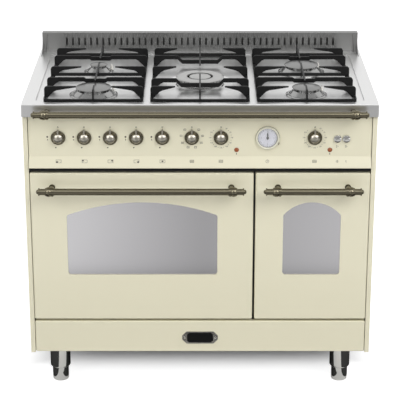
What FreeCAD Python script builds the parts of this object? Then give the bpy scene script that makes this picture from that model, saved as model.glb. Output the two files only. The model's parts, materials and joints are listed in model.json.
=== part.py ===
import FreeCAD, Part
import math
import os

# Free-standing range cooker, one metre wide, with two ovens, five gas burners and a drawer.
# X runs across the front, Y from the room (-) to the wall (+), Z up. All lengths are in millimetres.
# The origin is on the floor, below the middle of the whole cooker.

V = FreeCAD.Vector
ROOT_HALF = math.sqrt(0.5)

# Overall sizes
overall_width = 1000.0
body_depth = 600.0
hob_height = 890.0
leg_height = 125.0
upstand_height = 60.0
overrun = 20.0
small_step = 1.0
same_point = 0.0001

# Fits and gaps
running_gap = 0.05
loose_gap = 0.3
front_gap = 7.0
side_gap = 1.5
seal_gap = 5.0

# Cabinet sheets
side_sheet = 1.2
rear_sheet = 1.2
frame_sheet = 1.5
tray_sheet = 1.5
hob_overhang = 2.5
side_flange_width = 13.0
side_flange_setback = 8.0
rear_flange_width = 18.0
rear_louvre_width = 70.0
rear_louvre_height = 5.0
rear_louvre_pitch = 18.0
rear_louvre_rows = 6
rear_louvre_columns = 4
tray_edge_height = 14.0

# Hob
hob_sheet = 1.5
hob_edge_height = 37.0
hob_edge_round = 3.0
recess_depth = 4.0
recess_front_margin = 22.0
recess_rear_margin = 52.0
recess_side_margin = 38.0
recess_corner = 26.0
dish_radius = 101.0
dish_depth = 4.0
dish_slope = 7.0

# Upstand at the wall
upstand_depth = 24.0
upstand_sheet = 1.2
upstand_inset = 8.0
upstand_slot_count = 45
upstand_slot_pitch = 18.9
upstand_slot_width = 6.0
upstand_slot_height = 24.0
upstand_slot_foot = 20.0
upstand_bead_radius = 4.0
upstand_bead_inset = 14.0
upstand_lip_height = 5.0
wing_reach = 62.0
wing_sheet = 2.0

# Control panel
panel_sheet = 1.5
panel_setback = 12.0
panel_face_height = 119.0
panel_lip_height = 32.0
panel_lip_reach = 14.0
panel_lip_edge = 3.0
panel_top_drop = 10.0
panel_return = 16.0
panel_foot_return = 40.0
panel_bend = 4.0
trim_height = 17.0
trim_face_height = 4.0
trim_sheet = 1.2
trim_setback = 8.0
shelf_setback = 14.0

# Controls
control_drop = 101.0
gas_knob_shares = (-0.8261, -0.6744, -0.5228, -0.3711, -0.2195)
selector_share = -0.0476
large_thermostat_share = 0.1222
small_thermostat_share = 0.6687
clock_share = 0.3934
lamp_shares = (0.2133, 0.7578)
lamp_drop = 137.0
button_pair_share = 0.8271
button_pitch = 25.0
button_drop = 104.0
knob_gap = 1.0
knob_skirt_radius = 20.5
knob_skirt_height = 4.0
knob_ring_radius = 15.8
knob_ring_height = 9.0
knob_neck_radius = 11.5
knob_neck_height = 11.5
knob_head_radius = 13.0
knob_height = 17.5
pointer_width = 4.4
pointer_radius = 25.5
pointer_inner_radius = 12.0
pointer_low = 3.0
pointer_high = 11.0
spindle_radius = 4.0
spindle_length = 30.0
spindle_hole_radius = 7.0
button_radius = 10.5
button_height = 9.0
button_travel = 3.0
button_skirt = 2.0
button_stem_radius = 3.0
button_stem_length = 24.0
button_bezel_radius = 11.8
lamp_radius = 5.5
lamp_flange_radius = 6.6
lamp_flange_height = 1.2
lamp_dome_height = 3.5
lamp_length = 12.0

# Clock
clock_radius = 33.0
clock_height = 8.0
clock_dial_radius = 28.0
clock_dial_depth = 5.0
clock_back_radius = 26.0
clock_back_depth = 16.0
clock_bore_depth = 12.0
hour_tube_radius = 3.0
minute_shaft_radius = 1.5
hand_thickness = 0.7
hand_gap = 0.6
minute_hand_length = 17.0
hour_hand_length = 12.0
hand_width = 4.8
hand_tail = 5.0
crown_angle = -28.0
crown_radius = 2.6
crown_length = 4.0
crown_stem_radius = 1.2
crown_stem_length = 4.0
crown_flutes = 12

# Gas pipe, taps and switches behind the panel
tap_radius = 13.0
tap_length = 44.0
tap_spindle_bore = 31.0
manifold_radius = 8.0
manifold_drop = 30.0
manifold_overhang = 30.0
feed_bend = 40.0
feed_side_margin = 34.0
inlet_radius = 10.48
inlet_length = 20.0
inlet_shoulder_radius = 12.5
inlet_shoulder_reach = 4.0
inlet_collar_radius = 15.0
inlet_collar_length = 8.0
switch_width = 42.0
switch_height = 38.0
switch_depth = 34.0

# Rail and handles
bar_radius = 9.6
bar_step_radius = 11.4
bar_step_width = 2.5
bar_ring_radius = 13.4
bar_ring_width = 5.0
bar_collar_reach = 9.0
bar_collar_radius = 14.0
bar_collar_length = 15.0
bar_collar_end_radius = 11.6
bar_lip_width = 2.0
bar_neck_radius = 8.8
bar_disc_radius = 11.0
bar_disc_width = 3.0
bar_tip_radius = 6.6
bar_tip_length = 7.0
bar_tip_dome = 4.0
bar_finial_length = 42.0
rail_reach = 30.0
rail_drop = 22.0
rail_post_inset = 72.0
post_radius = 6.8
post_boss_radius = 8.0
post_boss_length = 19.0
post_foot_radius = 8.8
post_foot_length = 3.0
handle_reach = 40.0
handle_drop = 247.0
handle_post_inset = 63.0

# Doors
door_setback = 6.0
door_thickness = 38.0
door_sheet = 1.5
door_pan_depth = 24.0
door_edge_round = 4.0
small_door_width = 325.0
door_gap = 6.0
window_rim = 4.0
large_window_width = 431.0
small_window_width = 165.0
window_sill = 140.0
window_side = 184.5
window_rise = 39.5
window_corner = 9.0
glass_thickness = 4.0
glass_lap = 18.0
inner_glass_margin = 60.0
inner_glass_lap = 8.0
liner_sheet = 1.2
liner_overlap = 8.0
hinge_depth = 16.0
hinge_rise = 14.0
hinge_inset = 48.0
hinge_arm_width = 6.0
hinge_arm_half_height = 6.5
hinge_pin_radius = 3.0
hinge_pin_reach = 4.0
hinge_channel_gap = 0.6
hinge_channel_sheet = 2.5
hinge_channel_height = 70.0
hinge_slot_gap = 1.4
hinge_foot_gap = 0.8

# Ovens
cavity_sheet = 1.0
cavity_flange = 14.0
cavity_sill = 60.0
cavity_head = 34.0
large_cavity_width = 540.0
small_cavity_width = 236.0
cavity_rear_margin = 78.0
opening_corner = 12.0
ledge_reach = 9.0
ledge_height = 7.0
ledge_count = 4
ledge_pitch = 72.0
ledge_first = 62.0
ledge_end_margin = 24.0
seal_width = 9.0
seal_clear = 4.0
shelf_frame_radius = 3.5
shelf_wire_radius = 2.0
shelf_side_gap = 1.5
shelf_corner = 14.0
shelf_wire_pitch = 27.0
shelf_level = 1
shelf_end_gap = 16.0
element_radius = 4.0
element_drop = 26.0
element_bend = 28.0
element_end_gap = 60.0
element_side_gap = 62.0
fan_radius = 62.0
fan_disc = 1.5
fan_blade_height = 20.0
fan_blade_length = 26.0
fan_blades = 12
fan_hub_radius = 10.0
fan_shaft_radius = 4.0
fan_bush_radius = 9.0
fan_bush_length = 14.0
fan_wall_gap = 6.0
fan_cover_width = 230.0
fan_cover_height = 200.0
fan_cover_depth = 40.0
fan_cover_round = 24.0
fan_cover_holes = 12
fan_cover_hole_radius = 9.0
fan_cover_hole_circle = 42.0
fan_rise = 160.0

# Drawer
drawer_foot_gap = 3.0
drawer_height = 98.0
drawer_front_thickness = 18.0
drawer_sheet = 1.2
drawer_box_height = 66.0
drawer_box_lift = 16.0
drawer_box_margin = 46.0
drawer_box_depth = 450.0
drawer_opening_margin = 28.0
runner_width = 20.0
runner_sheet = 1.5
runner_height = 40.0

# Legs
sleeve_radius = 30.0
sleeve_foot = 45.0
sleeve_round = 5.0
foot_radius = 24.0
foot_length = 100.0
foot_round = 5.0
leg_side_inset = 80.0
leg_front_inset = 90.0
leg_rear_inset = 90.0

# Pan supports
grate_front = 30.0
grate_rear_margin = 64.0
grate_side_clear = 22.0
grate_gap = 20.0
grate_bar = 8.0
grate_bar_lift = 3.0
grate_corner = 14.0
grate_top = 32.0
grate_blade = 5.0
grate_blade_height = 12.0
grate_leg_width = 26.0
grate_leg_round = 9.0
grate_finger_tip = 3.0
grate_dip = 14.0
grate_dip_top_half = 68.0
grate_dip_foot_half = 54.0
side_dip = 4.0
side_dip_top_half = 34.0
side_dip_foot_half = 28.0
finger_row_inset = 43.0
cap_bar_gap = 2.6
wok_bar_gap = 5.5
full_rows = (1, 3)
low_bar_height = 9.0
low_bar_lift = 12.0
spine_width = 4.0
spine_leg_width = 13.0

# Burners
burner_front_gap = 2.0
burner_rear_inset = 184.0
burner_wok_setback = 1.5
burner_column_offset = 3.0
large_burner_radius = 60.0
medium_burner_radius = 50.0
small_burner_radius = 35.0
burner_flange_margin = 9.0
burner_flange_height = 4.0
burner_cone_height = 17.0
burner_cone_slope = 13.0
burner_slot_width = 2.6
burner_slot_depth = 5.0
burner_slot_height = 6.0
burner_slot_arc = 13.0
burner_neck_share = 0.55
burner_neck_length = 26.0
cap_overlap = 4.0
cap_edge = 2.6
cap_dome = 3.6
wok_ring_radius = 70.0
wok_ring_bore = 38.0
wok_inner_radius = 31.0
wok_height = 22.0
wok_base_radius = 62.0
plug_radius = 3.0
plug_collar_radius = 4.6
plug_collar_height = 8.0
plug_height = 14.0
plug_gap = 3.0

# Planes worked out from the sizes above
front_reach = handle_reach - door_setback + bar_collar_radius
rear_reach = inlet_shoulder_reach + inlet_length
hob_front = -(body_depth + rear_reach - front_reach) / 2
wall_y = hob_front + body_depth
hob_half = overall_width / 2
cabinet_half = hob_half - hob_overhang
flange_inner = cabinet_half - side_flange_width
front_half = flange_inner - side_gap
inner_half = cabinet_half - side_sheet

hob_top_z = hob_height
hob_under = hob_top_z - hob_sheet
recess_floor = hob_top_z - recess_depth
panel_top = hob_top_z - hob_edge_height
panel_break = panel_top - panel_face_height
panel_bottom = panel_break - panel_lip_height
door_top = panel_bottom - trim_height
drawer_bottom = leg_height + drawer_foot_gap
drawer_top = drawer_bottom + drawer_height
door_bottom = drawer_top + front_gap

flange_y = hob_front + side_flange_setback
door_y = hob_front + door_setback
hinge_y = door_y + hinge_depth
hinge_z = door_bottom + hinge_rise
door_back = door_y + door_thickness
frame_y = door_back + seal_gap
frame_back = frame_y + frame_sheet
panel_y = hob_front + panel_setback
panel_back = panel_y + panel_sheet
rear_inner = wall_y - rear_sheet
cavity_back = wall_y - cavity_rear_margin
control_z = hob_top_z - control_drop
button_z = hob_top_z - button_drop

small_door = (front_half - small_door_width, front_half)
large_door = (-front_half, front_half - small_door_width - door_gap)
large_centre = sum(large_door) / 2
small_centre = sum(small_door) / 2
cavity_floor = door_bottom + cavity_sill
cavity_roof = door_top - cavity_head
large_cavity = (large_centre - large_cavity_width / 2, large_centre + large_cavity_width / 2)
small_cavity = (small_centre - small_cavity_width / 2, small_centre + small_cavity_width / 2)
gas_knob_places = [share * front_half for share in gas_knob_shares]
selector_x = selector_share * front_half
large_thermostat_x = large_thermostat_share * front_half
small_thermostat_x = small_thermostat_share * front_half
clock_x = clock_share * front_half
lamp_places = [share * front_half for share in lamp_shares]
button_pair_x = button_pair_share * front_half
button_places = [button_pair_x - button_pitch / 2, button_pair_x + button_pitch / 2]
switch_places = [selector_x, large_thermostat_x, small_thermostat_x]

grate_depth = body_depth - grate_front - grate_rear_margin
grate_width = (overall_width - 2 * (recess_side_margin + grate_side_clear + grate_gap)) / 3
grate_pitch = grate_width + grate_gap
burner_column_x = grate_pitch + burner_column_offset
large_flange_radius = large_burner_radius + burner_flange_margin
large_cap_radius = large_burner_radius - burner_cone_slope + cap_overlap
burner_front_y = grate_front + grate_bar + burner_front_gap + large_flange_radius
burner_rear_y = grate_front + grate_depth - burner_rear_inset
burner_wok_y = (burner_front_y + burner_rear_y) / 2 + burner_wok_setback
bar_behind_burner = large_cap_radius + cap_bar_gap + grate_blade / 2
front_finger_row = grate_front + finger_row_inset
middle_row = burner_rear_y - large_flange_radius
rear_bar_row = burner_rear_y + bar_behind_burner
rear_finger_row = grate_front + grate_depth - finger_row_inset
wok_bar_row = burner_wok_y - wok_ring_radius - wok_bar_gap - grate_blade / 2
side_rows = [front_finger_row, burner_front_y + bar_behind_burner, middle_row, rear_bar_row, rear_finger_row]
wok_rows = [front_finger_row, wok_bar_row, middle_row, rear_bar_row, rear_finger_row]


# Shapes from outlines

def box(x0, x1, y0, y1, z0, z1):
    return Part.makeBox(x1 - x0, y1 - y0, z1 - z0, V(x0, y0, z0))


def rod(radius, start, end):
    return Part.makeCylinder(radius, (end - start).Length, start, end - start)


def closed_wire(items, place):
    """Join points by lines; an item with four values is an arc through its last two."""
    first = place(items[0][0], items[0][1])
    last = first
    edges = []
    for item in items[1:]:
        point = place(item[0], item[1])
        if len(item) == 4:
            edges.append(Part.Arc(last, place(item[2], item[3]), point).toShape())
        else:
            edges.append(Part.LineSegment(last, point).toShape())
        last = point
    if not last.isEqual(first, same_point):
        edges.append(Part.LineSegment(last, first).toShape())
    return Part.Wire(edges)


def along_x(items, x0, x1):
    return Part.Face(closed_wire(items, lambda a, b: V(x0, a, b))).extrude(V(x1 - x0, 0, 0))


def along_y(items, y0, y1):
    return Part.Face(closed_wire(items, lambda a, b: V(a, y0, b))).extrude(V(0, y1 - y0, 0))


def along_z(items, z0, z1):
    return Part.Face(closed_wire(items, lambda a, b: V(a, b, z0))).extrude(V(0, 0, z1 - z0))


def turned(items, origin, axis):
    """Turn an outline of (distance along the axis, radius) about the axis."""
    face = Part.Face(closed_wire(items, lambda h, r: V(r, 0, h)))
    solid = face.revolve(V(0, 0, 0), V(0, 0, 1), 360)
    solid.Placement = FreeCAD.Placement(origin, FreeCAD.Rotation(V(0, 0, 1), axis))
    return solid


def dome(base, height, radius):
    """Arc item for a round cap that rises from its rim to the axis, for turned()."""
    ball = (radius ** 2 + height ** 2) / (2 * height)
    half_angle = math.asin(radius / ball) / 2
    centre = base + height - ball
    return (base + height, 0, centre + ball * math.cos(half_angle), ball * math.sin(half_angle))


def rounded(a0, a1, b0, b1, r):
    k = r * (1 - ROOT_HALF)
    return [(a0 + r, b0), (a1 - r, b0), (a1, b0 + r, a1 - k, b0 + k),
            (a1, b1 - r), (a1 - r, b1, a1 - k, b1 - k),
            (a0 + r, b1), (a0, b1 - r, a0 + k, b1 - k),
            (a0, b0 + r), (a0 + r, b0, a0 + k, b0 + k)]


def folded(points, thickness):
    """Outline of a sheet bent along the points; it thickens to the left of them."""
    inner = []
    for i, point in enumerate(points):
        total = [0, 0]
        count = 0
        for j in (i, i + 1):
            if 0 < j < len(points):
                da = points[j][0] - points[j - 1][0]
                db = points[j][1] - points[j - 1][1]
                length = math.hypot(da, db)
                total[0] -= db / length
                total[1] += da / length
                count += 1
        scale = thickness * count / (total[0] ** 2 + total[1] ** 2)
        inner.append((point[0] + total[0] * scale, point[1] + total[1] * scale))
    return list(points) + inner[::-1]


def fuse(shapes):
    joined = shapes[0].multiFuse(shapes[1:]) if len(shapes) > 1 else shapes[0]
    return joined.removeSplitter()


def cut(shape, tools):
    return shape.cut(Part.makeCompound(tools)) if tools else shape


def mirrored(shape):
    return shape.mirror(V(0, 0, 0), V(1, 0, 0))


def moved(shape, x, y, z):
    copy = shape.copy()
    copy.translate(V(x, y, z))
    return copy


def edges_along(shape, axis, places=None):
    """Straight edges that run along an axis, at the named places across it if given."""
    found = []
    for edge in shape.Edges:
        ends = [v.Point for v in edge.Vertexes]
        if len(ends) != 2:
            continue
        run = ends[1] - ends[0]
        if run.Length < small_step or abs(abs(run.dot(axis)) - run.Length) > running_gap:
            continue
        if places is None:
            found.append(edge)
            continue
        across = [c for c, a in zip(ends[0], axis) if not a]
        if any(math.dist(across, place) < running_gap for place in places):
            found.append(edge)
    return found


X_AXIS = V(1, 0, 0)
Y_AXIS = V(0, 1, 0)
Z_AXIS = V(0, 0, 1)
OUTWARD = V(0, -1, 0)


# Cabinet

def side_panel():
    line = [(flange_inner, frame_y), (flange_inner, flange_y), (cabinet_half, flange_y),
            (cabinet_half, rear_inner), (cabinet_half - rear_flange_width, rear_inner)]
    return along_z(folded(line, side_sheet), leg_height, hob_under)


def rear_panel():
    half = cabinet_half - side_sheet - small_step
    plate = box(-half, half, rear_inner, wall_y, leg_height, hob_under)
    slots = []
    span = (rear_louvre_columns - 1) * rear_louvre_width * 2
    for row in range(rear_louvre_rows):
        z = hob_under - upstand_height - row * rear_louvre_pitch
        for column in range(rear_louvre_columns):
            x = column * rear_louvre_width * 2 - span / 2
            slots.append(box(x - rear_louvre_width / 2, x + rear_louvre_width / 2,
                             rear_inner - overrun, wall_y + overrun, z - rear_louvre_height, z))
    slots.append(rod(inlet_shoulder_radius + loose_gap, V(inlet_x, rear_inner - overrun, inlet_z),
                     V(inlet_x, wall_y + overrun, inlet_z)))
    return cut(plate, slots)


def base_tray():
    y0 = frame_back
    y1 = rear_inner - side_sheet
    floor = box(-inner_half, inner_half, y0, y1, leg_height, leg_height + tray_sheet)
    parts = [floor]
    z0 = leg_height + tray_sheet
    for side in (-1, 1):
        edge = sorted((side * inner_half, side * (inner_half - tray_sheet)))
        parts.append(box(edge[0], edge[1], y0, y1, z0, z0 + tray_edge_height))
        # Drawer runner: a wall beside the box and a ledge under it
        wall = sorted((side * (drawer_box_half + loose_gap),
                       side * (drawer_box_half + loose_gap + runner_sheet)))
        ledge = sorted((side * (drawer_box_half + loose_gap), side * (drawer_box_half - runner_width)))
        parts.append(box(wall[0], wall[1], y0, y0 + drawer_box_depth, z0, z0 + runner_height))
        top = drawer_box_floor - loose_gap
        parts.append(box(ledge[0], ledge[1], y0, y0 + drawer_box_depth, top - runner_sheet, top))
        web = sorted((side * (drawer_box_half - runner_width),
                      side * (drawer_box_half - runner_width + runner_sheet)))
        parts.append(box(web[0], web[1], y0, y0 + drawer_box_depth, z0, top))
    return fuse(parts)


def front_frame():
    plate = box(-inner_half, inner_half, frame_y, frame_back, leg_height, panel_bottom)
    shelf = box(-front_half, front_half, hob_front + shelf_setback, frame_back,
                panel_bottom - frame_sheet, panel_bottom)
    frame = fuse([plate, shelf])
    openings = []
    for x0, x1 in (large_cavity, small_cavity):
        items = rounded(x0, x1, cavity_floor, cavity_roof, opening_corner)
        openings.append(along_y(items, frame_y - overrun, frame_back + overrun))
    half = front_half - drawer_opening_margin
    openings.append(along_y(rounded(-half, half, drawer_box_floor - tray_edge_height / 2,
                                    drawer_top - drawer_foot_gap, drawer_foot_gap),
                            frame_y - overrun, frame_back + overrun))
    frame = cut(frame, openings)
    # The four hinge arms stand out of the frame and carry the door pivots
    arms = []
    for x in hinge_places:
        half_width = hinge_arm_width / 2
        r = hinge_arm_half_height
        bar = along_x([(hinge_y, hinge_z - r), (frame_back, hinge_z - r), (frame_back, hinge_z + r),
                       (hinge_y, hinge_z + r), (hinge_y, hinge_z - r, hinge_y - r, hinge_z)],
                      x - half_width, x + half_width)
        reach = half_width + hinge_pin_reach
        pin = rod(hinge_pin_radius, V(x - reach, hinge_y, hinge_z), V(x + reach, hinge_y, hinge_z))
        arms += [bar, pin]
    return fuse([frame] + arms)


def control_panel():
    y = panel_y
    lip_y = y - panel_lip_reach
    line = [(y + panel_return, hob_top_z - panel_top_drop), (y, hob_top_z - panel_top_drop),
            (y, panel_break), (lip_y, panel_bottom + panel_lip_edge), (lip_y, panel_bottom),
            (y + panel_foot_return - panel_lip_reach, panel_bottom)]
    panel = along_x(folded(line, panel_sheet), -front_half, front_half)
    bends = edges_along(panel, X_AXIS, [(y, panel_break)])
    panel = panel.makeFillet(panel_bend, bends)
    holes = []

    def hole(x, z, radius):
        holes.append(rod(radius, V(x, y - overrun, z), V(x, panel_back + overrun / 2, z)))

    for x in gas_knob_places + switch_places:
        hole(x, control_z, spindle_hole_radius)
    for x in button_places:
        hole(x, button_z, button_radius + loose_gap)
    for x in lamp_places:
        hole(x, hob_top_z - lamp_drop, lamp_radius + loose_gap)
    hole(clock_x, control_z, clock_back_radius + loose_gap)
    return cut(panel, holes)


def vent_trim():
    z = panel_bottom - (trim_height - trim_face_height) / 2
    y = hob_front + trim_setback
    line = [(frame_y, z), (y, z), (y, z - trim_face_height)]
    return along_x(folded(line, trim_sheet), -front_half, front_half)


# Hob and upstand

def hob_top():
    y0 = hob_front
    skirt = box(-hob_half, hob_half, y0, wall_y, panel_top, hob_top_z)
    rounds = edges_along(skirt, X_AXIS, [(y0, hob_top_z)])
    rounds += edges_along(skirt, Y_AXIS, [(-hob_half, hob_top_z), (hob_half, hob_top_z)])
    rounds += edges_along(skirt, Z_AXIS, [(-hob_half, y0), (hob_half, y0)])
    skirt = skirt.makeFillet(hob_edge_round, rounds)
    inside = box(-hob_half + hob_sheet, hob_half - hob_sheet, y0 + hob_sheet, wall_y + overrun,
                 panel_top - overrun, hob_under)
    shell = skirt.cut(inside)
    edge = (-hob_half + recess_side_margin, hob_half - recess_side_margin,
            y0 + recess_front_margin, wall_y - recess_rear_margin)
    under = along_z(rounded(edge[0] - hob_sheet, edge[1] + hob_sheet, edge[2] - hob_sheet,
                            edge[3] + hob_sheet, recess_corner + hob_sheet),
                    recess_floor - hob_sheet, hob_under)
    pocket = along_z(rounded(*edge, recess_corner), recess_floor, hob_top_z + overrun)
    centre = V(0, y0 + burner_wok_y, recess_floor)
    dish = Part.makeCone(dish_radius - dish_slope, dish_radius, dish_depth,
                         centre - V(0, 0, dish_depth), Z_AXIS)
    dish_under = Part.makeCylinder(dish_radius + hob_sheet, dish_depth,
                                   centre - V(0, 0, dish_depth + hob_sheet), Z_AXIS)
    shell = fuse([shell, under, dish_under])
    holes = [pocket, dish]
    for x, y, radius, floor in burner_places:
        holes.append(rod(radius * burner_neck_share + loose_gap, V(x, y, floor - overrun),
                         V(x, y, floor + overrun)))
    for x, y, radius, floor in plug_places:
        holes.append(rod(plug_radius + loose_gap, V(x, y, floor - overrun), V(x, y, floor + overrun)))
    return cut(shell, holes)


def backguard():
    half = hob_half - upstand_inset
    y0 = wall_y - upstand_depth
    z1 = hob_top_z + upstand_height
    line = [(wall_y, hob_top_z), (wall_y, z1), (y0, z1), (y0, hob_top_z)]
    body = along_x(folded(line, upstand_sheet), -half, half)
    slots = []
    span = (upstand_slot_count - 1) * upstand_slot_pitch
    for i in range(upstand_slot_count):
        x = i * upstand_slot_pitch - span / 2
        z = hob_top_z + upstand_slot_foot
        slots.append(box(x - upstand_slot_width / 2, x + upstand_slot_width / 2,
                         y0 - overrun, y0 + upstand_depth / 2, z, z + upstand_slot_height))
    body = cut(body, slots)
    parts = [body]
    for side in (-1, 1):
        # Wing: an end plate with a hollow sweep down to the hob
        x = sorted((side * half, side * (half - wing_sheet)))
        sweep = wing_reach * (1 - ROOT_HALF)
        items = [(wall_y - upstand_sheet, hob_top_z), (wall_y - upstand_sheet, z1 - upstand_sheet),
                 (y0, z1 - upstand_sheet), (y0, hob_top_z + wing_reach * ROOT_HALF),
                 (y0 - wing_reach, hob_top_z + upstand_sheet,
                  y0 - sweep, hob_top_z + wing_reach * ROOT_HALF - wing_reach * ROOT_HALF * ROOT_HALF),
                 (y0 - wing_reach, hob_top_z)]
        parts.append(along_x(items, x[0], x[1]))
        bead_x = side * (half - upstand_bead_inset)
        bead = rod(upstand_bead_radius, V(bead_x, y0 + upstand_bead_radius / 2, hob_top_z),
                   V(bead_x, y0 + upstand_bead_radius / 2, z1 - upstand_lip_height))
        parts.append(bead)
    return fuse(parts)


# Rail and handles

def bar_fitting(post_x, direction, y, z):
    """The turned end of a bar: rings, barrel collar and stepped finial, with its axis along X."""
    step = bar_step_width - bar_collar_reach
    ring = step + bar_ring_width
    collar = ring + bar_collar_length
    lip = collar + bar_lip_width
    disc = bar_finial_length - bar_tip_length
    tip = dome(bar_finial_length - bar_tip_dome, bar_tip_dome, bar_tip_radius)
    items = [(-bar_collar_reach, 0), (-bar_collar_reach, bar_step_radius), (step, bar_step_radius),
             (step, bar_ring_radius), (ring, bar_ring_radius), (ring, bar_collar_end_radius),
             (collar, bar_collar_end_radius, (ring + collar) / 2, bar_collar_radius),
             (lip, bar_collar_end_radius), (lip, bar_neck_radius),
             (disc - bar_disc_width, bar_neck_radius), (disc - bar_disc_width, bar_disc_radius),
             (disc, bar_disc_radius), (disc, bar_tip_radius),
             (bar_finial_length - bar_tip_dome, bar_tip_radius), tip]
    return turned(items, V(post_x, y, z), X_AXIS * direction)


def bar(first_post, second_post, y, z):
    """A plain round bar along X that carries a turned fitting at each post."""
    plain = rod(bar_radius, V(first_post + bar_collar_reach, y, z), V(second_post - bar_collar_reach, y, z))
    return Part.makeCompound([plain, bar_fitting(first_post, -1, y, z), bar_fitting(second_post, 1, y, z)])


def post(x, y_foot, y_bar, z):
    """A turned post from its foot plate to the bar collar, hollowed to fit the collar."""
    reach = y_foot - y_bar
    items = [(0, 0), (0, post_foot_radius), (post_foot_length, post_foot_radius),
             (post_foot_length, post_radius), (reach - post_boss_length, post_radius),
             (reach - post_boss_length, post_boss_radius), (reach, post_boss_radius), (reach, 0)]
    solid = turned(items, V(x, y_foot, z), OUTWARD)
    seat = rod(bar_collar_radius + loose_gap, V(x - post_foot_radius * 2, y_bar, z),
               V(x + post_foot_radius * 2, y_bar, z))
    return solid.cut(seat)


def rail_and_posts():
    y = hob_front - rail_reach
    z = hob_top_z - rail_drop
    at = hob_half - rail_post_inset
    rail = bar(-at, at, y, z)
    posts = [post(x, hob_front, y, z) for x in (-at, at)]
    return rail, Part.makeCompound(posts)


def handle_and_posts(door):
    y = door_y - handle_reach
    z = hob_top_z - handle_drop
    first = door[0] + handle_post_inset
    second = door[1] - handle_post_inset
    handle = bar(first, second, y, z)
    posts = [post(x, door_y, y, z) for x in (first, second)]
    return handle, Part.makeCompound(posts)


# Controls

def knob(x):
    base = panel_y - knob_gap
    profile = [(0, 0), (0, knob_skirt_radius), (knob_skirt_height - small_step, knob_skirt_radius),
               (knob_skirt_height, knob_skirt_radius - small_step),
               (knob_skirt_height, knob_ring_radius), (knob_ring_height, knob_ring_radius - small_step),
               (knob_ring_height, knob_neck_radius), (knob_neck_height, knob_neck_radius),
               (knob_neck_height + small_step, knob_head_radius),
               dome(knob_neck_height + small_step, knob_height - knob_neck_height - small_step,
                    knob_head_radius)]
    body = turned(profile, V(x, base, control_z), OUTWARD)
    y_low = base - pointer_low
    y_high = base - pointer_high
    items = [(y_low, control_z + pointer_inner_radius), (y_high, control_z + pointer_inner_radius),
             (y_high, control_z + knob_skirt_radius), (y_low - pointer_width / 2, control_z + pointer_radius),
             (y_low, control_z + pointer_radius)]
    pointer = along_x(items, x - pointer_width / 2, x + pointer_width / 2)
    spindle = rod(spindle_radius, V(x, base - knob_skirt_height, control_z),
                  V(x, base + spindle_length, control_z))
    return fuse([body, pointer, spindle])


def push_button(x):
    side = button_height - button_skirt * 2
    profile = [(-button_skirt, 0), (-button_skirt, button_radius), (side, button_radius),
               dome(side, button_skirt, button_radius)]
    cap = turned(profile, V(x, panel_y, button_z), OUTWARD)
    stem = rod(button_stem_radius, V(x, panel_y, button_z), V(x, panel_y + button_stem_length, button_z))
    return fuse([cap, stem])


def lamps():
    lenses = []
    for x in lamp_places:
        profile = [(-lamp_length, 0), (-lamp_length, lamp_radius), (0, lamp_radius), (0, lamp_flange_radius),
                   (lamp_flange_height, lamp_flange_radius), (lamp_flange_height, lamp_radius),
                   dome(lamp_flange_height, lamp_dome_height - lamp_flange_height, lamp_radius)]
        lenses.append(turned(profile, V(x, panel_y, hob_top_z - lamp_drop), OUTWARD))
    return Part.makeCompound(lenses)


def clock_case():
    """Bezel, sunk dial and back can, with a bore for the two concentric hand shafts."""
    rim = clock_radius - clock_dial_radius
    profile = [(-clock_back_depth, 0), (-clock_back_depth, clock_back_radius), (0, clock_back_radius),
               (0, clock_radius), (clock_height - rim / 2, clock_radius),
               (clock_height - rim / 2, clock_radius - rim,
                clock_height, clock_radius - rim / 2),
               (clock_height - clock_dial_depth, clock_dial_radius), (clock_height - clock_dial_depth, 0)]
    case = turned(profile, V(clock_x, panel_y, control_z), OUTWARD)
    dial_y = panel_y - clock_height + clock_dial_depth
    bore = rod(hour_tube_radius + running_gap, V(clock_x, dial_y - overrun, control_z),
               V(clock_x, dial_y + clock_bore_depth, control_z))
    direction = crown_direction()
    at = V(clock_x, crown_y, control_z)
    stem_hole = rod(crown_stem_radius + running_gap,
                    at + direction * (clock_radius - crown_stem_length - small_step),
                    at + direction * (clock_radius + overrun))
    return cut(case, [bore, stem_hole])


def crown_direction():
    angle = math.radians(crown_angle)
    return V(math.cos(angle), 0, math.sin(angle))


def clock_crown():
    direction = crown_direction()
    at = V(clock_x, crown_y, control_z) + direction * (clock_radius + loose_gap)
    head = rod(crown_radius, at, at + direction * crown_length)
    stem = rod(crown_stem_radius, at - direction * crown_stem_length, at)
    flutes = []
    across = direction.cross(Y_AXIS)
    for i in range(crown_flutes):
        angle = 2 * math.pi * i / crown_flutes
        offset = (Y_AXIS * math.cos(angle) + across * math.sin(angle)) * crown_radius
        flutes.append(rod(loose_gap, at + offset - direction * overrun, at + offset + direction * overrun))
    return cut(head, flutes).fuse(stem).removeSplitter()


def hand(length, width, tail, y0, y1, shaft_radius, shaft_end, bore):
    """A leaf-shaped clock hand on its round shaft, pointing up."""
    z = control_z
    half = width / 2
    items = [(clock_x - half / 2, z - tail), (clock_x + half / 2, z - tail), (clock_x + half / 2, z),
             (clock_x + half, z + length * ROOT_HALF), (clock_x, z + length),
             (clock_x - half, z + length * ROOT_HALF), (clock_x - half / 2, z)]
    blade = along_y(items, y0, y1)
    boss = rod(shaft_radius + small_step, V(clock_x, y0, z), V(clock_x, y1, z))
    shaft = rod(shaft_radius, V(clock_x, y0, z), V(clock_x, shaft_end, z))
    solid = fuse([blade, boss, shaft])
    if bore:
        solid = solid.cut(rod(bore, V(clock_x, y0 - overrun, z), V(clock_x, shaft_end + overrun, z)))
    return solid


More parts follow.
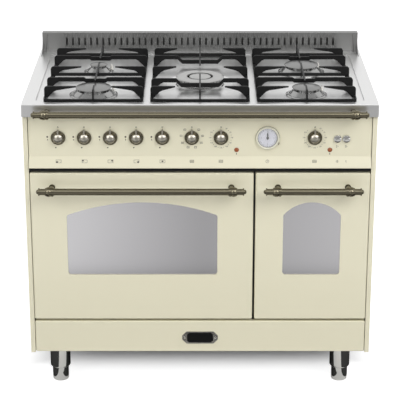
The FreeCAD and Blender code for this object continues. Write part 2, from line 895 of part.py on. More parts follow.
def hour_and_minute_hands():
    dial = panel_y - clock_height + clock_dial_depth
    hour_back = dial - hand_gap
    hour_front = hour_back - hand_thickness
    minute_back = hour_front - hand_gap
    minute_front = minute_back - hand_thickness
    shaft_end = dial + clock_bore_depth - small_step
    hour = hand(hour_hand_length, hand_width, hand_tail, hour_front, hour_back,
                hour_tube_radius, shaft_end, minute_shaft_radius + running_gap)
    minute = hand(minute_hand_length, hand_width - small_step, hand_tail, minute_front, minute_back,
                  minute_shaft_radius, shaft_end, 0)
    return hour, minute


# Gas line and switches

def pipe(points, radius, bend):
    """A tube on straight runs joined by tangent arcs."""
    edges = []
    last = points[0]
    for i in range(1, len(points) - 1):
        corner = points[i]
        before = (points[i - 1] - corner).normalize()
        after = (points[i + 1] - corner).normalize()
        half_turn = before.getAngle(after) / 2
        setback = bend / math.tan(half_turn)
        entry = corner + before * setback
        leave = corner + after * setback
        middle = (before + after).normalize()
        centre = corner + middle * (bend / math.sin(half_turn))
        edges.append(Part.LineSegment(last, entry).toShape())
        edges.append(Part.Arc(entry, centre - middle * bend, leave).toShape())
        last = leave
    edges.append(Part.LineSegment(last, points[-1]).toShape())
    path = Part.Wire(edges)
    ring = Part.Wire(Part.Circle(points[0], points[1] - points[0], radius).toShape())
    return path.makePipeShell([ring], True, False)


def gas_manifold():
    """Front rail with five taps, and the feed pipe round to the inlet at the wall."""
    pipe_y = panel_back + tap_length - manifold_radius
    pipe_z = control_z - manifold_drop
    start = V(gas_knob_places[0] - manifold_overhang, pipe_y, pipe_z)
    route = [start, V(inlet_x, pipe_y, pipe_z), V(inlet_x, pipe_y + feed_bend * 2 + overrun, inlet_z),
             V(inlet_x, rear_inner - inlet_collar_length, inlet_z)]
    parts = [pipe(route, manifold_radius, feed_bend)]
    bores = []
    for x in gas_knob_places:
        parts.append(rod(tap_radius, V(x, panel_back, control_z), V(x, panel_back + tap_length, control_z)))
        parts.append(box(x - tap_radius / 2, x + tap_radius / 2, pipe_y - manifold_radius / 2,
                         pipe_y + manifold_radius / 2, pipe_z, control_z))
        bores.append(rod(spindle_radius + running_gap, V(x, panel_back - overrun, control_z),
                         V(x, panel_back + tap_spindle_bore, control_z)))
    end = V(inlet_x, rear_inner, inlet_z)
    parts.append(rod(inlet_collar_radius, end - V(0, inlet_collar_length, 0), end))
    shoulder = V(inlet_x, wall_y + inlet_shoulder_reach, inlet_z)
    parts.append(rod(inlet_shoulder_radius, end - V(0, small_step, 0), shoulder))
    parts.append(rod(inlet_radius, shoulder - V(0, small_step, 0), shoulder + V(0, inlet_length, 0)))
    return cut(fuse(parts), bores)


def control_switches():
    """Selector, two thermostats and the double push switch, each bored for its spindle."""
    bodies = []
    for x in switch_places:
        block = box(x - switch_width / 2, x + switch_width / 2, panel_back, panel_back + switch_depth,
                    control_z - switch_height / 2, control_z + switch_height / 2)
        bore = rod(spindle_radius + running_gap, V(x, panel_back - overrun, control_z),
                   V(x, panel_back + tap_spindle_bore, control_z))
        bodies.append(block.cut(bore))
    x0 = button_places[0] - button_bezel_radius
    x1 = button_places[-1] + button_bezel_radius
    block = box(x0, x1, panel_back, panel_back + switch_depth, button_z - button_bezel_radius,
                button_z + button_bezel_radius)
    wells = []
    for x in button_places:
        wells.append(rod(button_radius + loose_gap, V(x, panel_back - overrun, button_z),
                         V(x, panel_y + button_skirt + button_travel + small_step, button_z)))
        wells.append(rod(button_stem_radius + running_gap, V(x, panel_back - overrun, button_z),
                         V(x, panel_y + button_stem_length + button_travel + small_step, button_z)))
    bodies.append(cut(block, wells))
    return Part.makeCompound(bodies)


# Doors

def arch_prism(door, width, grow, y0, y1):
    """A block with the window's outline: straight sill and sides under a shallow arch."""
    centre = sum(door) / 2
    half = width / 2
    sill = door_bottom + window_sill
    crown = sill + window_side + window_rise
    radius = (half ** 2 + window_rise ** 2) / (2 * window_rise)
    arch_centre = crown - radius
    half += grow
    radius += grow
    shoulder = arch_centre + math.sqrt(radius ** 2 - half ** 2)
    items = [(centre - half, sill - grow), (centre + half, sill - grow), (centre + half, shoulder),
             (centre - half, shoulder, centre, crown + grow)]
    solid = along_y(items, y0, y1)
    return solid.makeFillet(window_corner + grow, edges_along(solid, Y_AXIS))


def door_panel(door, width):
    """Pressed enamel pan with rounded edges and a drawn rim round the arched window."""
    x0, x1 = door
    outer = box(x0, x1, door_y, door_y + door_pan_depth, door_bottom, door_top)
    rounds = edges_along(outer, X_AXIS, [(door_y, door_bottom), (door_y, door_top)])
    rounds += edges_along(outer, Z_AXIS, [(x0, door_y), (x1, door_y)])
    rounds += edges_along(outer, Y_AXIS)
    outer = outer.makeFillet(door_edge_round, rounds)
    inner = box(x0 + door_sheet, x1 - door_sheet, door_y + door_sheet, door_y + door_pan_depth + overrun,
                door_bottom + door_sheet, door_top - door_sheet)
    inner = inner.makeFillet(door_edge_round - door_sheet, edges_along(inner, Y_AXIS))
    pan = outer.cut(inner)
    rim = arch_prism(door, width, door_sheet, door_y + door_sheet / 2, door_y + window_rim)
    pan = pan.fuse(rim).removeSplitter()
    hole = arch_prism(door, width, 0, door_y - overrun, door_y + window_rim + overrun / 2)
    pan = pan.cut(hole)
    return cut(pan, hinge_slots(door))


def hinge_slots(door):
    """Room for the hinge arms as the door swings round them."""
    slots = []
    half = hinge_arm_width / 2 + hinge_slot_gap
    r = hinge_arm_half_height + hinge_slot_gap
    for x in hinge_places:
        if door[0] < x < door[1]:
            slots.append(box(x - half, x + half, hinge_y - r, door_back + overrun,
                             door_bottom - overrun, hinge_z + r))
    return slots


def door_glass(door, width):
    """Outer mirrored pane behind the arched rim, and the plain inner pane."""
    centre = sum(door) / 2
    sill = door_bottom + window_sill
    crown = sill + window_side + window_rise
    half = width / 2 + glass_lap
    y = door_y + window_rim
    outer = along_y(rounded(centre - half, centre + half, sill - glass_lap, crown + glass_lap,
                            window_corner), y, y + glass_thickness)
    x0, x1, z0, z1 = inner_opening(door)
    y1 = door_back - liner_sheet
    inner = box(x0 - inner_glass_lap, x1 + inner_glass_lap, y1 - glass_thickness, y1,
                z0 - inner_glass_lap, z1 + inner_glass_lap)
    return Part.makeCompound([outer, inner])


def inner_opening(door):
    return (door[0] + inner_glass_margin, door[1] - inner_glass_margin,
            door_bottom + window_sill - glass_lap, door_bottom + window_sill + window_side + window_rise)


def door_liner(door):
    """Inner door tray: its skirt slips inside the pan and its face meets the seal."""
    x0 = door[0] + door_sheet + loose_gap
    x1 = door[1] - door_sheet - loose_gap
    z0 = door_bottom + door_sheet + loose_gap
    z1 = door_top - door_sheet - loose_gap
    y0 = door_y + door_pan_depth - liner_overlap
    outer = box(x0, x1, y0, door_back, z0, z1)
    outer = outer.makeFillet(door_edge_round, edges_along(outer, Y_AXIS))
    inner = box(x0 + liner_sheet, x1 - liner_sheet, y0 - overrun, door_back - liner_sheet,
                z0 + liner_sheet, z1 - liner_sheet)
    inner = inner.makeFillet(door_edge_round - liner_sheet, edges_along(inner, Y_AXIS))
    a0, a1, b0, b1 = inner_opening(door)
    opening = along_y(rounded(a0, a1, b0, b1, opening_corner), door_back - overrun, door_back + overrun)
    return cut(outer, [inner, opening] + hinge_slots(door))


def hinge_channels(door):
    """A steel channel at each hinge, pivoted on the arm's pin and fixed inside the door."""
    channels = []
    half = hinge_arm_width / 2 + hinge_channel_gap
    wide = half + hinge_channel_sheet
    y0 = door_y + door_sheet
    y1 = door_back - liner_sheet
    z0 = door_bottom + door_sheet + liner_sheet + loose_gap + hinge_foot_gap
    z1 = hinge_z + hinge_channel_height
    for x in hinge_places:
        if door[0] < x < door[1]:
            block = box(x - wide, x + wide, y0, y1, z0, z1)
            room = box(x - half, x + half, y0 + hinge_channel_sheet, y1 + overrun, z0 - overrun, z1 + overrun)
            bore = rod(hinge_pin_radius + running_gap, V(x - wide - overrun, hinge_y, hinge_z),
                       V(x + wide + overrun, hinge_y, hinge_z))
            channels.append(cut(block, [room, bore]))
    return Part.makeCompound(channels)


def door_seals():
    rings = []
    for x0, x1 in (large_cavity, small_cavity):
        inner = (x0 - seal_clear, x1 + seal_clear, cavity_floor - seal_clear, cavity_roof + seal_clear)
        outer = (inner[0] - seal_width, inner[1] + seal_width, inner[2] - seal_width, inner[3] + seal_width)
        y0 = door_back + loose_gap
        ring = along_y(rounded(*outer, opening_corner + seal_width), y0, frame_y)
        rings.append(ring.cut(along_y(rounded(*inner, opening_corner), y0 - overrun, frame_y + overrun)))
    return Part.makeCompound(rings)


# Ovens

def oven_cavity(span, with_fan):
    x0, x1 = span
    t = cavity_sheet
    y0 = frame_back
    outer = box(x0 - t, x1 + t, y0, cavity_back, cavity_floor - t, cavity_roof + t)
    inner = box(x0, x1, y0 - overrun, cavity_back - t, cavity_floor, cavity_roof)
    outer = outer.makeFillet(opening_corner + t, edges_along(outer, Y_AXIS))
    inner = inner.makeFillet(opening_corner, edges_along(inner, Y_AXIS))
    flange = along_y(rounded(x0 - cavity_flange, x1 + cavity_flange, cavity_floor - cavity_flange,
                             cavity_roof + cavity_flange, opening_corner), y0, y0 + t)
    parts = [outer, flange]
    if with_fan:
        parts.append(rod(fan_bush_radius, V(sum(span) / 2, cavity_back - t, cavity_floor + fan_rise),
                         V(sum(span) / 2, cavity_back + fan_bush_length, cavity_floor + fan_rise)))
    shell = fuse(parts).cut(inner)
    ledges = []
    for level in range(ledge_count):
        z = cavity_floor + ledge_first + level * ledge_pitch
        for wall, side in ((x0, 1), (x1, -1)):
            # A pressed shelf ledge: flat on top, sloping back to the wall below
            items = [(wall - side * t / 2, z), (wall + side * ledge_reach, z),
                     (wall + side * ledge_reach, z - ledge_height / 2),
                     (wall - side * t / 2, z - ledge_height)]
            ledges.append(along_y(items, y0 + ledge_end_margin, cavity_back - ledge_end_margin))
    shell = fuse([shell] + ledges)
    if with_fan:
        bore = rod(fan_shaft_radius + running_gap,
                   V(sum(span) / 2, cavity_back - overrun, cavity_floor + fan_rise),
                   V(sum(span) / 2, cavity_back + fan_bush_length + overrun, cavity_floor + fan_rise))
        shell = shell.cut(bore)
    return shell


def oven_shelf(span):
    """Wire shelf: a bent frame rod with wires across it, resting on the ledges."""
    r = shelf_frame_radius
    x0 = span[0] + shelf_side_gap + r
    x1 = span[1] - shelf_side_gap - r
    y0 = frame_back + shelf_end_gap
    y1 = cavity_back - fan_cover_depth - shelf_end_gap
    z = cavity_floor + ledge_first + shelf_level * ledge_pitch + loose_gap + r
    k = shelf_corner
    mid = V((x0 + x1) / 2, y0, z)
    route = [mid, V(x1, y0, z), V(x1, y1, z), V(x0, y1, z), V(x0, y0, z), mid]
    parts = [pipe(route, r, k)]
    count = int((x1 - x0 - k) / shelf_wire_pitch)
    step = (x1 - x0) / (count + 1)
    for i in range(count):
        x = x0 + (i + 1) * step
        parts.append(rod(shelf_wire_radius, V(x, y0, z + r - shelf_wire_radius),
                         V(x, y1, z + r - shelf_wire_radius)))
    for share in (1 / 3, 2 / 3):
        y = y0 + (y1 - y0) * share
        low = z - shelf_wire_radius / 2
        parts.append(rod(shelf_wire_radius, V(x0, y, low), V(x1, y, low)))
    return fuse(parts)


def heating_element(span):
    """Roof grill element: one tube bent into two hairpins from the back wall."""
    z = cavity_roof - element_drop
    y_wall = cavity_back - cavity_sheet
    y_front = frame_back + element_end_gap
    x0 = span[0] + element_side_gap
    x1 = span[1] - element_side_gap
    legs = [x0 + (x1 - x0) * share for share in (0, 1 / 3, 2 / 3, 1)]
    bend = min(element_bend, (legs[1] - legs[0]) / 2 - running_gap)
    y_rear = y_wall - element_end_gap
    route = [V(legs[0], y_wall, z), V(legs[0], y_front, z), V(legs[1], y_front, z), V(legs[1], y_rear, z),
             V(legs[2], y_rear, z), V(legs[2], y_front, z), V(legs[3], y_front, z), V(legs[3], y_wall, z)]
    return pipe(route, element_radius, bend)


def fan_cover():
    centre = sum(large_cavity) / 2
    z = cavity_floor + fan_rise
    y1 = cavity_back - cavity_sheet
    y0 = y1 - fan_cover_depth
    half_w = fan_cover_width / 2
    half_h = fan_cover_height / 2
    t = cavity_sheet
    outer = along_y(rounded(centre - half_w, centre + half_w, z - half_h, z + half_h, fan_cover_round),
                    y0, y1)
    inner = along_y(rounded(centre - half_w + t, centre + half_w - t, z - half_h + t, z + half_h - t,
                            fan_cover_round - t), y0 + t, y1 + overrun)
    middle = rod(fan_cover_hole_radius * 2, V(centre, y0 - overrun, z), V(centre, y0 + overrun / 2, z))
    holes = [inner, middle]
    for i in range(fan_cover_holes):
        angle = 2 * math.pi * i / fan_cover_holes
        x = centre + fan_cover_hole_circle * math.cos(angle)
        h = z + fan_cover_hole_circle * math.sin(angle)
        holes.append(rod(fan_cover_hole_radius, V(x, y0 - overrun, h), V(x, y0 + overrun / 2, h)))
    return cut(outer, holes)


def oven_fan():
    centre = sum(large_cavity) / 2
    z = cavity_floor + fan_rise
    y_disc = cavity_back - cavity_sheet - fan_wall_gap
    parts = [rod(fan_radius, V(centre, y_disc - fan_disc, z), V(centre, y_disc, z)),
             rod(fan_hub_radius, V(centre, y_disc - fan_blade_height, z), V(centre, y_disc, z)),
             rod(fan_shaft_radius, V(centre, y_disc - fan_disc, z),
                 V(centre, cavity_back + fan_bush_length, z))]
    for i in range(fan_blades):
        blade = box(fan_radius - fan_blade_length, fan_radius - fan_disc, -fan_blade_height, -fan_disc / 2,
                    -fan_disc / 2, fan_disc / 2)
        blade.rotate(V(0, 0, 0), Y_AXIS, 360 * i / fan_blades)
        parts.append(moved(blade, centre, y_disc, z))
    return fuse(parts)


# Drawer

def drawer_front():
    x = front_half
    y1 = door_y + drawer_front_thickness
    outer = box(-x, x, door_y, y1, drawer_bottom, drawer_top)
    rounds = edges_along(outer, X_AXIS, [(door_y, drawer_bottom), (door_y, drawer_top)])
    rounds += edges_along(outer, Z_AXIS, [(-x, door_y), (x, door_y)])
    rounds += edges_along(outer, Y_AXIS)
    outer = outer.makeFillet(door_edge_round, rounds)
    t = door_sheet
    inner = box(-x + t, x - t, door_y + t, y1 + overrun, drawer_bottom + t, drawer_top - t)
    inner = inner.makeFillet(door_edge_round - t, edges_along(inner, Y_AXIS))
    return outer.cut(inner)


def drawer_box():
    x = drawer_box_half
    t = drawer_sheet
    y0 = door_y + door_sheet
    y1 = frame_back + drawer_box_depth - drawer_box_margin
    z0 = drawer_box_floor
    outer = box(-x, x, y0, y1, z0, z0 + drawer_box_height)
    inner = box(-x + t, x - t, y0 + t, y1 - t, z0 + t, z0 + drawer_box_height + overrun)
    return outer.cut(inner)


# Legs

def leg_sleeve(x, y):
    bore = foot_radius + loose_gap
    k = sleeve_round * (1 - ROOT_HALF)
    profile = [(sleeve_foot, bore), (sleeve_foot, sleeve_radius - sleeve_round),
               (sleeve_foot + sleeve_round, sleeve_radius, sleeve_foot + k, sleeve_radius - k),
               (leg_height, sleeve_radius), (leg_height, 0), (foot_length + sleeve_round, 0),
               (foot_length + sleeve_round, bore)]
    return turned(profile, V(x, y, 0), Z_AXIS)


def levelling_foot(x, y):
    k = foot_round * (1 - ROOT_HALF)
    profile = [(0, 0), (0, foot_radius - foot_round),
               (foot_round, foot_radius, k, foot_radius - k),
               (foot_length, foot_radius), (foot_length, 0)]
    return turned(profile, V(x, y, 0), Z_AXIS)


# Pan supports

def finger(x_side, x_tip, y, side):
    """Blade that climbs from the side bar and runs inward to a thin tip."""
    z0 = hob_top_z - grate_bar_lift
    z1 = hob_top_z + grate_top
    z_low = z1 - grate_blade_height
    k = grate_leg_round * (1 - ROOT_HALF)
    inner = x_side + side * grate_leg_width
    items = [(x_side, z0), (x_side, z1 - grate_leg_round),
             (x_side + side * grate_leg_round, z1, x_side + side * k, z1 - k),
             (x_tip, z1), (x_tip, z1 - grate_finger_tip),
             (inner + side * grate_leg_round, z_low), (inner, z_low - grate_leg_round / 2),
             (inner - side * (grate_leg_width - grate_bar), z0)]
    return along_y(items, y - grate_blade / 2, y + grate_blade / 2)


def full_bar(x0, x1, y, dip, top_half, foot_half):
    """Bridge across the support with a sunk middle, so that a round pan sits lower."""
    z0 = hob_top_z - grate_bar_lift
    z1 = hob_top_z + grate_top
    z_low = z1 - grate_blade_height
    centre = (x0 + x1) / 2
    k = grate_leg_round * (1 - ROOT_HALF)
    right = [(centre + foot_half, z1 - dip), (centre + top_half, z1), (x1 - grate_leg_round, z1),
             (x1, z1 - grate_leg_round, x1 - k, z1 - k), (x1, z0), (x1 - grate_bar, z0),
             (x1 - grate_leg_width, z_low - grate_leg_round / 2),
             (x1 - grate_leg_width - grate_leg_round, z_low), (centre + top_half, z_low),
             (centre + foot_half, z_low - dip)]
    left = [(centre - foot_half, z_low - dip), (centre - top_half, z_low),
            (x0 + grate_leg_width + grate_leg_round, z_low),
            (x0 + grate_leg_width, z_low - grate_leg_round / 2),
            (x0 + grate_bar, z0), (x0, z0), (x0, z1 - grate_leg_round),
            (x0 + grate_leg_round, z1, x0 + k, z1 - k), (centre - top_half, z1),
            (centre - foot_half, z1 - dip)]
    return along_y(right + left, y - grate_blade / 2, y + grate_blade / 2)


def spine(x, y_start, y_tip, direction):
    """Front or back finger on the middle line, from the end bar to over the burner."""
    z0 = hob_top_z - grate_bar_lift
    z1 = hob_top_z + grate_top
    z_low = z1 - grate_blade_height
    inner = y_start + direction * spine_leg_width
    k = grate_leg_round * (1 - ROOT_HALF)
    items = [(y_start, z0), (y_start, z1 - grate_leg_round),
             (y_start + direction * grate_leg_round, z1, y_start + direction * k, z1 - k),
             (y_tip, z1), (y_tip, z1 - grate_finger_tip), (inner + direction * grate_leg_round, z_low),
             (inner, z_low - grate_leg_round / 2), (y_start + direction * grate_bar, z0)]
    return along_x(items, x - spine_width / 2, x + spine_width / 2)


def mitred_frame(x0, x1, y0, y1, z0):
    """Four square bars that meet at mitred corners, rounded outside."""
    b = grate_bar
    plate = along_z(rounded(x0, x1, y0, y1, grate_corner), z0, z0 + b)
    outer = [(x0, y0), (x1, y0), (x1, y1), (x0, y1)]
    inner = [(x0 + b, y0 + b), (x1 - b, y0 + b), (x1 - b, y1 - b), (x0 + b, y1 - b)]
    bars = []
    for i in range(4):
        j = (i + 1) % 4
        bars.append(plate.common(along_z([outer[i], outer[j], inner[j], inner[i]], z0, z0 + b)))
    return bars


def welded(pieces):
    """Set pieces against each other: each one is cut back to those before it."""
    done = []
    for piece in pieces:
        near = [other for other in done if other.BoundBox.intersect(piece.BoundBox)]
        done.extend(cut(piece, near).Solids if near else [piece])
    return Part.makeCompound(done)


def pan_support(centre, rows, spine_tips, middle_spine, dip, finger_reach):
    """Welded bars: a frame on four feet, blades in five rows and blades on the middle line."""
    x0 = centre - grate_width / 2
    x1 = centre + grate_width / 2
    y0 = hob_front + grate_front
    y1 = y0 + grate_depth
    z0 = hob_top_z - grate_bar_lift
    z1 = hob_top_z + grate_top
    b = grate_bar
    parts = mitred_frame(x0, x1, y0, y1, z0)
    for i, row in enumerate(rows):
        y = hob_front + row
        if i in full_rows:
            parts.append(full_bar(x0, x1, y, *dip))
        else:
            parts.append(finger(x0, x0 + finger_reach, y, 1))
            parts.append(finger(x1, x1 - finger_reach, y, -1))
    parts.append(spine(centre, y0, spine_tips[0], 1))
    parts.append(spine(centre, y1, spine_tips[1], -1))
    if not middle_spine:
        # A short stem ties each middle blade to the sunk bar that it passes over
        for i in full_rows:
            y = hob_front + rows[i]
            parts.append(box(centre - spine_width / 2, centre + spine_width / 2, y - grate_blade / 2,
                             y + grate_blade / 2, z1 - dip[0] - grate_finger_tip, z1 - grate_finger_tip))
    else:
        # Two-burner support: a low cross bar carries a blade that reaches over both burners
        middle = hob_front + middle_row
        low = hob_top_z + low_bar_lift
        foot = low - low_bar_height
        under = z1 - grate_blade_height
        front, rear = middle_spine
        parts.append(box(x0 + b / 2, x1 - b / 2, middle - grate_blade / 2, middle + grate_blade / 2,
                         foot, low))
        items = [(middle - grate_blade, foot), (middle - grate_blade, under), (front, z1 - grate_finger_tip),
                 (front, z1), (rear, z1), (rear, z1 - grate_finger_tip), (middle + grate_blade, under),
                 (middle + grate_blade, foot)]
        parts.append(along_x(items, centre - spine_width / 2, centre + spine_width / 2))
    for x in (x0 + b * 2, x1 - b * 2):
        for y in (y0 + b / 2, y1 - b / 2):
            parts.append(rod(b / 2, V(x, y, recess_floor), V(x, y, z0)))
    return welded(parts)


# Burners

def flame_spreader(x, y, radius, floor):
    """Turned crown on a flange, with flame slots cut round its upper edge."""
    top = burner_flange_height + burner_cone_height
    upper = radius - burner_cone_slope
    neck = radius * burner_neck_share
    profile = [(-burner_neck_length, 0), (-burner_neck_length, neck), (0, neck),
               (0, radius + burner_flange_margin), (burner_flange_height / 2, radius + burner_flange_margin),
               (burner_flange_height, radius + burner_flange_margin / 2), (burner_flange_height, radius),
               (top - burner_slot_height, upper + small_step), (top, upper), (top, 0)]
    crown = turned(profile, V(x, y, floor), Z_AXIS)
    slots = []
    count = int(2 * math.pi * upper / burner_slot_arc)
    for i in range(count):
        slot = box(upper - burner_slot_depth, upper + overrun / 2, -burner_slot_width / 2,
                   burner_slot_width / 2, floor + top - burner_slot_height, floor + top + overrun)
        slot.rotate(V(0, 0, 0), Z_AXIS, 360 * (i + 1 / 2) / count)
        slots.append(moved(slot, x, y, 0))
    return cut(crown, slots)


def burner_cap(x, y, radius, floor):
    """Domed enamel lid that overhangs the crown."""
    r = radius - burner_cone_slope + cap_overlap
    z = floor + burner_flange_height + burner_cone_height
    profile = [(0, 0), (0, r - cap_edge / 2), (cap_edge / 2, r), (cap_edge, r - cap_edge / 2),
               dome(cap_edge, cap_dome, r - cap_edge / 2)]
    return turned(profile, V(x, y, z), Z_AXIS)


def wok_spreader():
    """Triple crown: an outer ring crown on webs round a small inner crown."""
    x, y, radius, floor = burner_places[-1]
    h = wok_height
    rim = wok_ring_radius - cap_overlap
    bore = wok_ring_bore
    base = [(-burner_neck_length, 0), (-burner_neck_length, radius * burner_neck_share),
            (0, radius * burner_neck_share), (0, radius + burner_flange_margin),
            (burner_flange_height, radius + burner_flange_margin / 2), (burner_flange_height, radius),
            (h / 2, rim - burner_slot_depth), (h, rim), (h, bore), (h / 2, bore),
            (h / 2, wok_inner_radius), (h, wok_inner_radius - cap_overlap), (h, 0)]
    crown = turned(base, V(x, y, floor), Z_AXIS)
    slots = []
    for upper in (rim, wok_inner_radius - cap_overlap):
        count = int(2 * math.pi * upper / burner_slot_arc)
        for i in range(count):
            slot = box(upper - burner_slot_depth, upper + burner_slot_depth, -burner_slot_width / 2,
                       burner_slot_width / 2, floor + h - burner_slot_height, floor + h + overrun)
            slot.rotate(V(0, 0, 0), Z_AXIS, 360 * (i + 1 / 2) / count)
            slots.append(moved(slot, x, y, 0))
    return cut(crown, slots)


def wok_caps():
    x, y, _, floor = burner_places[-1]
    z = floor + wok_height
    rim = wok_ring_radius
    bore = wok_ring_bore
    ring = turned([(0, bore), (0, rim - cap_edge / 2), (cap_edge / 2, rim), (cap_edge, rim - cap_edge),
                   (cap_edge, bore, cap_edge + cap_dome / 2, (rim + bore) / 2)], V(x, y, z), Z_AXIS)
    r = wok_inner_radius
    lid = turned([(0, 0), (0, r - cap_edge / 2), (cap_edge / 2, r), (cap_edge, r - cap_edge / 2),
                  dome(cap_edge, cap_dome, r - cap_edge / 2)], V(x, y, z), Z_AXIS)
    return [ring, lid]


def ignition_plugs():
    plugs = []
    for x, y, _, floor in plug_places:
        profile = [(-burner_neck_length, 0), (-burner_neck_length, plug_radius), (0, plug_radius),
                   (0, plug_collar_radius), (plug_collar_height, plug_collar_radius),
                   (plug_collar_height, plug_radius), (plug_height, plug_radius / 2), (plug_height, 0)]
        plugs.append(turned(profile, V(x, y, floor), Z_AXIS))
    return Part.makeCompound(plugs)


# Places that the functions above share

inlet_x = cabinet_half - feed_side_margin
inlet_z = control_z - manifold_drop - feed_bend
crown_y = panel_y - clock_height / 2 + small_step / 2
drawer_box_half = front_half - drawer_box_margin
drawer_box_floor = leg_height + tray_sheet + drawer_box_lift
hinge_places = [large_door[0] + hinge_inset, large_door[1] - hinge_inset,
                small_door[0] + hinge_inset, small_door[1] - hinge_inset]
front_row = hob_front + burner_front_y
rear_row = hob_front + burner_rear_y
wok_row = hob_front + burner_wok_y
burner_places = [(-burner_column_x, front_row, large_burner_radius, recess_floor),
                 (-burner_column_x, rear_row, small_burner_radius, recess_floor),
                 (burner_column_x, rear_row, large_burner_radius, recess_floor),
                 (burner_column_x, front_row, medium_burner_radius, recess_floor),
                 (0, wok_row, wok_base_radius, recess_floor - dish_depth)]
plug_places = []
for bx, by, br, bz in burner_places:
    reach = br + burner_flange_margin + plug_gap + plug_collar_radius
    plug_places.append((bx + reach * ROOT_HALF, by + reach * ROOT_HALF, plug_radius, bz))
leg_places = [(side * (hob_half - leg_side_inset), y) for y in
              (hob_front + leg_front_inset, wall_y - leg_rear_inset) for side in (-1, 1)]
corner_names = ("front_left", "front_right", "rear_left", "rear_right")

nodes = {}
nodes["right_side_panel"] = side_panel()
nodes["left_side_panel"] = mirrored(nodes["right_side_panel"])
nodes["rear_panel"] = rear_panel()
nodes["base_tray"] = base_tray()
nodes["front_frame"] = front_frame()
nodes["control_panel"] = control_panel()
nodes["vent_trim"] = vent_trim()
nodes["hob_top"] = hob_top()
nodes["backguard"] = backguard()
nodes["front_rail"], nodes["front_rail_posts"] = rail_and_posts()
nodes["large_oven_cavity"] = oven_cavity(large_cavity, True)
nodes["small_oven_cavity"] = oven_cavity(small_cavity, False)
nodes["door_seals"] = door_seals()
nodes["oven_shelves"] = Part.makeCompound([oven_shelf(large_cavity), oven_shelf(small_cavity)])
nodes["heating_elements"] = Part.makeCompound([heating_element(large_cavity), heating_element(small_cavity)])
nodes["fan_cover"] = fan_cover()
nodes["oven_fan"] = oven_fan()
nodes["gas_manifold"] = gas_manifold()
nodes["control_switches"] = control_switches()
nodes["indicator_lamps"] = lamps()
nodes["clock_case"] = clock_case()
nodes["clock_crown"] = clock_crown()
nodes["hour_hand"], nodes["minute_hand"] = hour_and_minute_hands()
nodes["flame_spreaders"] = Part.makeCompound([flame_spreader(*place) for place in burner_places[:-1]]
                                             + [wok_spreader()])
nodes["burner_caps"] = Part.makeCompound([burner_cap(*place) for place in burner_places[:-1]] + wok_caps())
nodes["ignition_plugs"] = ignition_plugs()
nodes["leg_sleeves"] = Part.makeCompound([leg_sleeve(x, y) for x, y in leg_places])
for name, (x, y) in zip(corner_names, leg_places):
    nodes["foot_" + name] = levelling_foot(x, y)
for i, x in enumerate(gas_knob_places):
    nodes["gas_knob_" + str(i + 1)] = knob(x)
for name, x in zip(("function_knob", "large_oven_knob", "small_oven_knob"), switch_places):
    nodes[name] = knob(x)
for name, x in zip(("light_button", "ignition_button"), button_places):
    nodes[name] = push_button(x)
for name, door, width in (("large_door", large_door, large_window_width),
                          ("small_door", small_door, small_window_width)):
    nodes[name + "_panel"] = door_panel(door, width)
    nodes[name + "_glass"] = door_glass(door, width)
    nodes[name + "_liner"] = door_liner(door)
    nodes[name + "_handle"], nodes[name + "_handle_posts"] = handle_and_posts(door)
    nodes[name + "_hinges"] = hinge_channels(door)
nodes["drawer_front"] = drawer_front()
nodes["drawer_box"] = drawer_box()

side_tips = (front_row - medium_burner_radius / 2, rear_row + medium_burner_radius / 2)
side_middle = (front_row + medium_burner_radius / 2, rear_row - medium_burner_radius / 2)
side_dips = (side_dip, side_dip_top_half, side_dip_foot_half)
wok_dips = (grate_dip, grate_dip_top_half, grate_dip_foot_half)
side_finger = grate_width / 2 - medium_burner_radius
wok_finger = grate_width / 2 - wok_ring_radius
wok_tips = (wok_row - wok_inner_radius, wok_row + wok_ring_radius)
nodes["left_pan_support"] = pan_support(-grate_pitch, side_rows, side_tips, side_middle,
                                        side_dips, side_finger)
nodes["centre_pan_support"] = pan_support(0, wok_rows, wok_tips, None, wok_dips, wok_finger)
nodes["right_pan_support"] = pan_support(grate_pitch, side_rows, side_tips, side_middle,
                                         side_dips, side_finger)

os.makedirs("parts", exist_ok=True)
for name, shape in nodes.items():
    solids = shape.Solids
    result = solids[0] if len(solids) == 1 else Part.makeCompound(solids)
    result.exportStep(os.path.join("parts", name + ".step"))
    if not all(solid.isValid() for solid in solids):
        print("not valid:", name)
print(len(nodes), "nodes, hinge line at", hinge_y, hinge_z, "rear inlet at", inlet_x, inlet_z)
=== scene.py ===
# %% [markdown]
# # A range cooker, dressed for its picture
#
# The cooker's solid pieces come from the frame: cabinet, doors, burners, knobs and all. This lesson
# gives each of them its finish, adds the thin things that are printed or screwed on, and lights it.
# Everything is in metres: X across the front, Y towards the wall, Z up from the floor.

import json
import math

import bmesh
import bpy
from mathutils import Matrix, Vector


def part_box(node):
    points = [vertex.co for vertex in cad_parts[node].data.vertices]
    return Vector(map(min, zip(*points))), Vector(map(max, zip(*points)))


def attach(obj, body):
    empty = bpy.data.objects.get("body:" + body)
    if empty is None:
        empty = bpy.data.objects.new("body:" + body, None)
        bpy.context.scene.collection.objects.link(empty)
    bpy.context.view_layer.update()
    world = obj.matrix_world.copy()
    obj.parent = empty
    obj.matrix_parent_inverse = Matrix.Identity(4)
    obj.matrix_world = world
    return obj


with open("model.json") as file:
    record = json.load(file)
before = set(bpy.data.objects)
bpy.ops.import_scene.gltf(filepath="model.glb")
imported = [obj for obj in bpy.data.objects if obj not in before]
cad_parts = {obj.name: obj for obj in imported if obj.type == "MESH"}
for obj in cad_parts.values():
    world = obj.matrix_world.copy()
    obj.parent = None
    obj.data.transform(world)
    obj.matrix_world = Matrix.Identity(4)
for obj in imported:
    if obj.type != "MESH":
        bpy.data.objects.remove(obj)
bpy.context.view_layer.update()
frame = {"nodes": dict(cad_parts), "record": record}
MM = 0.001
print(len(frame["nodes"]), "pieces from the frame")

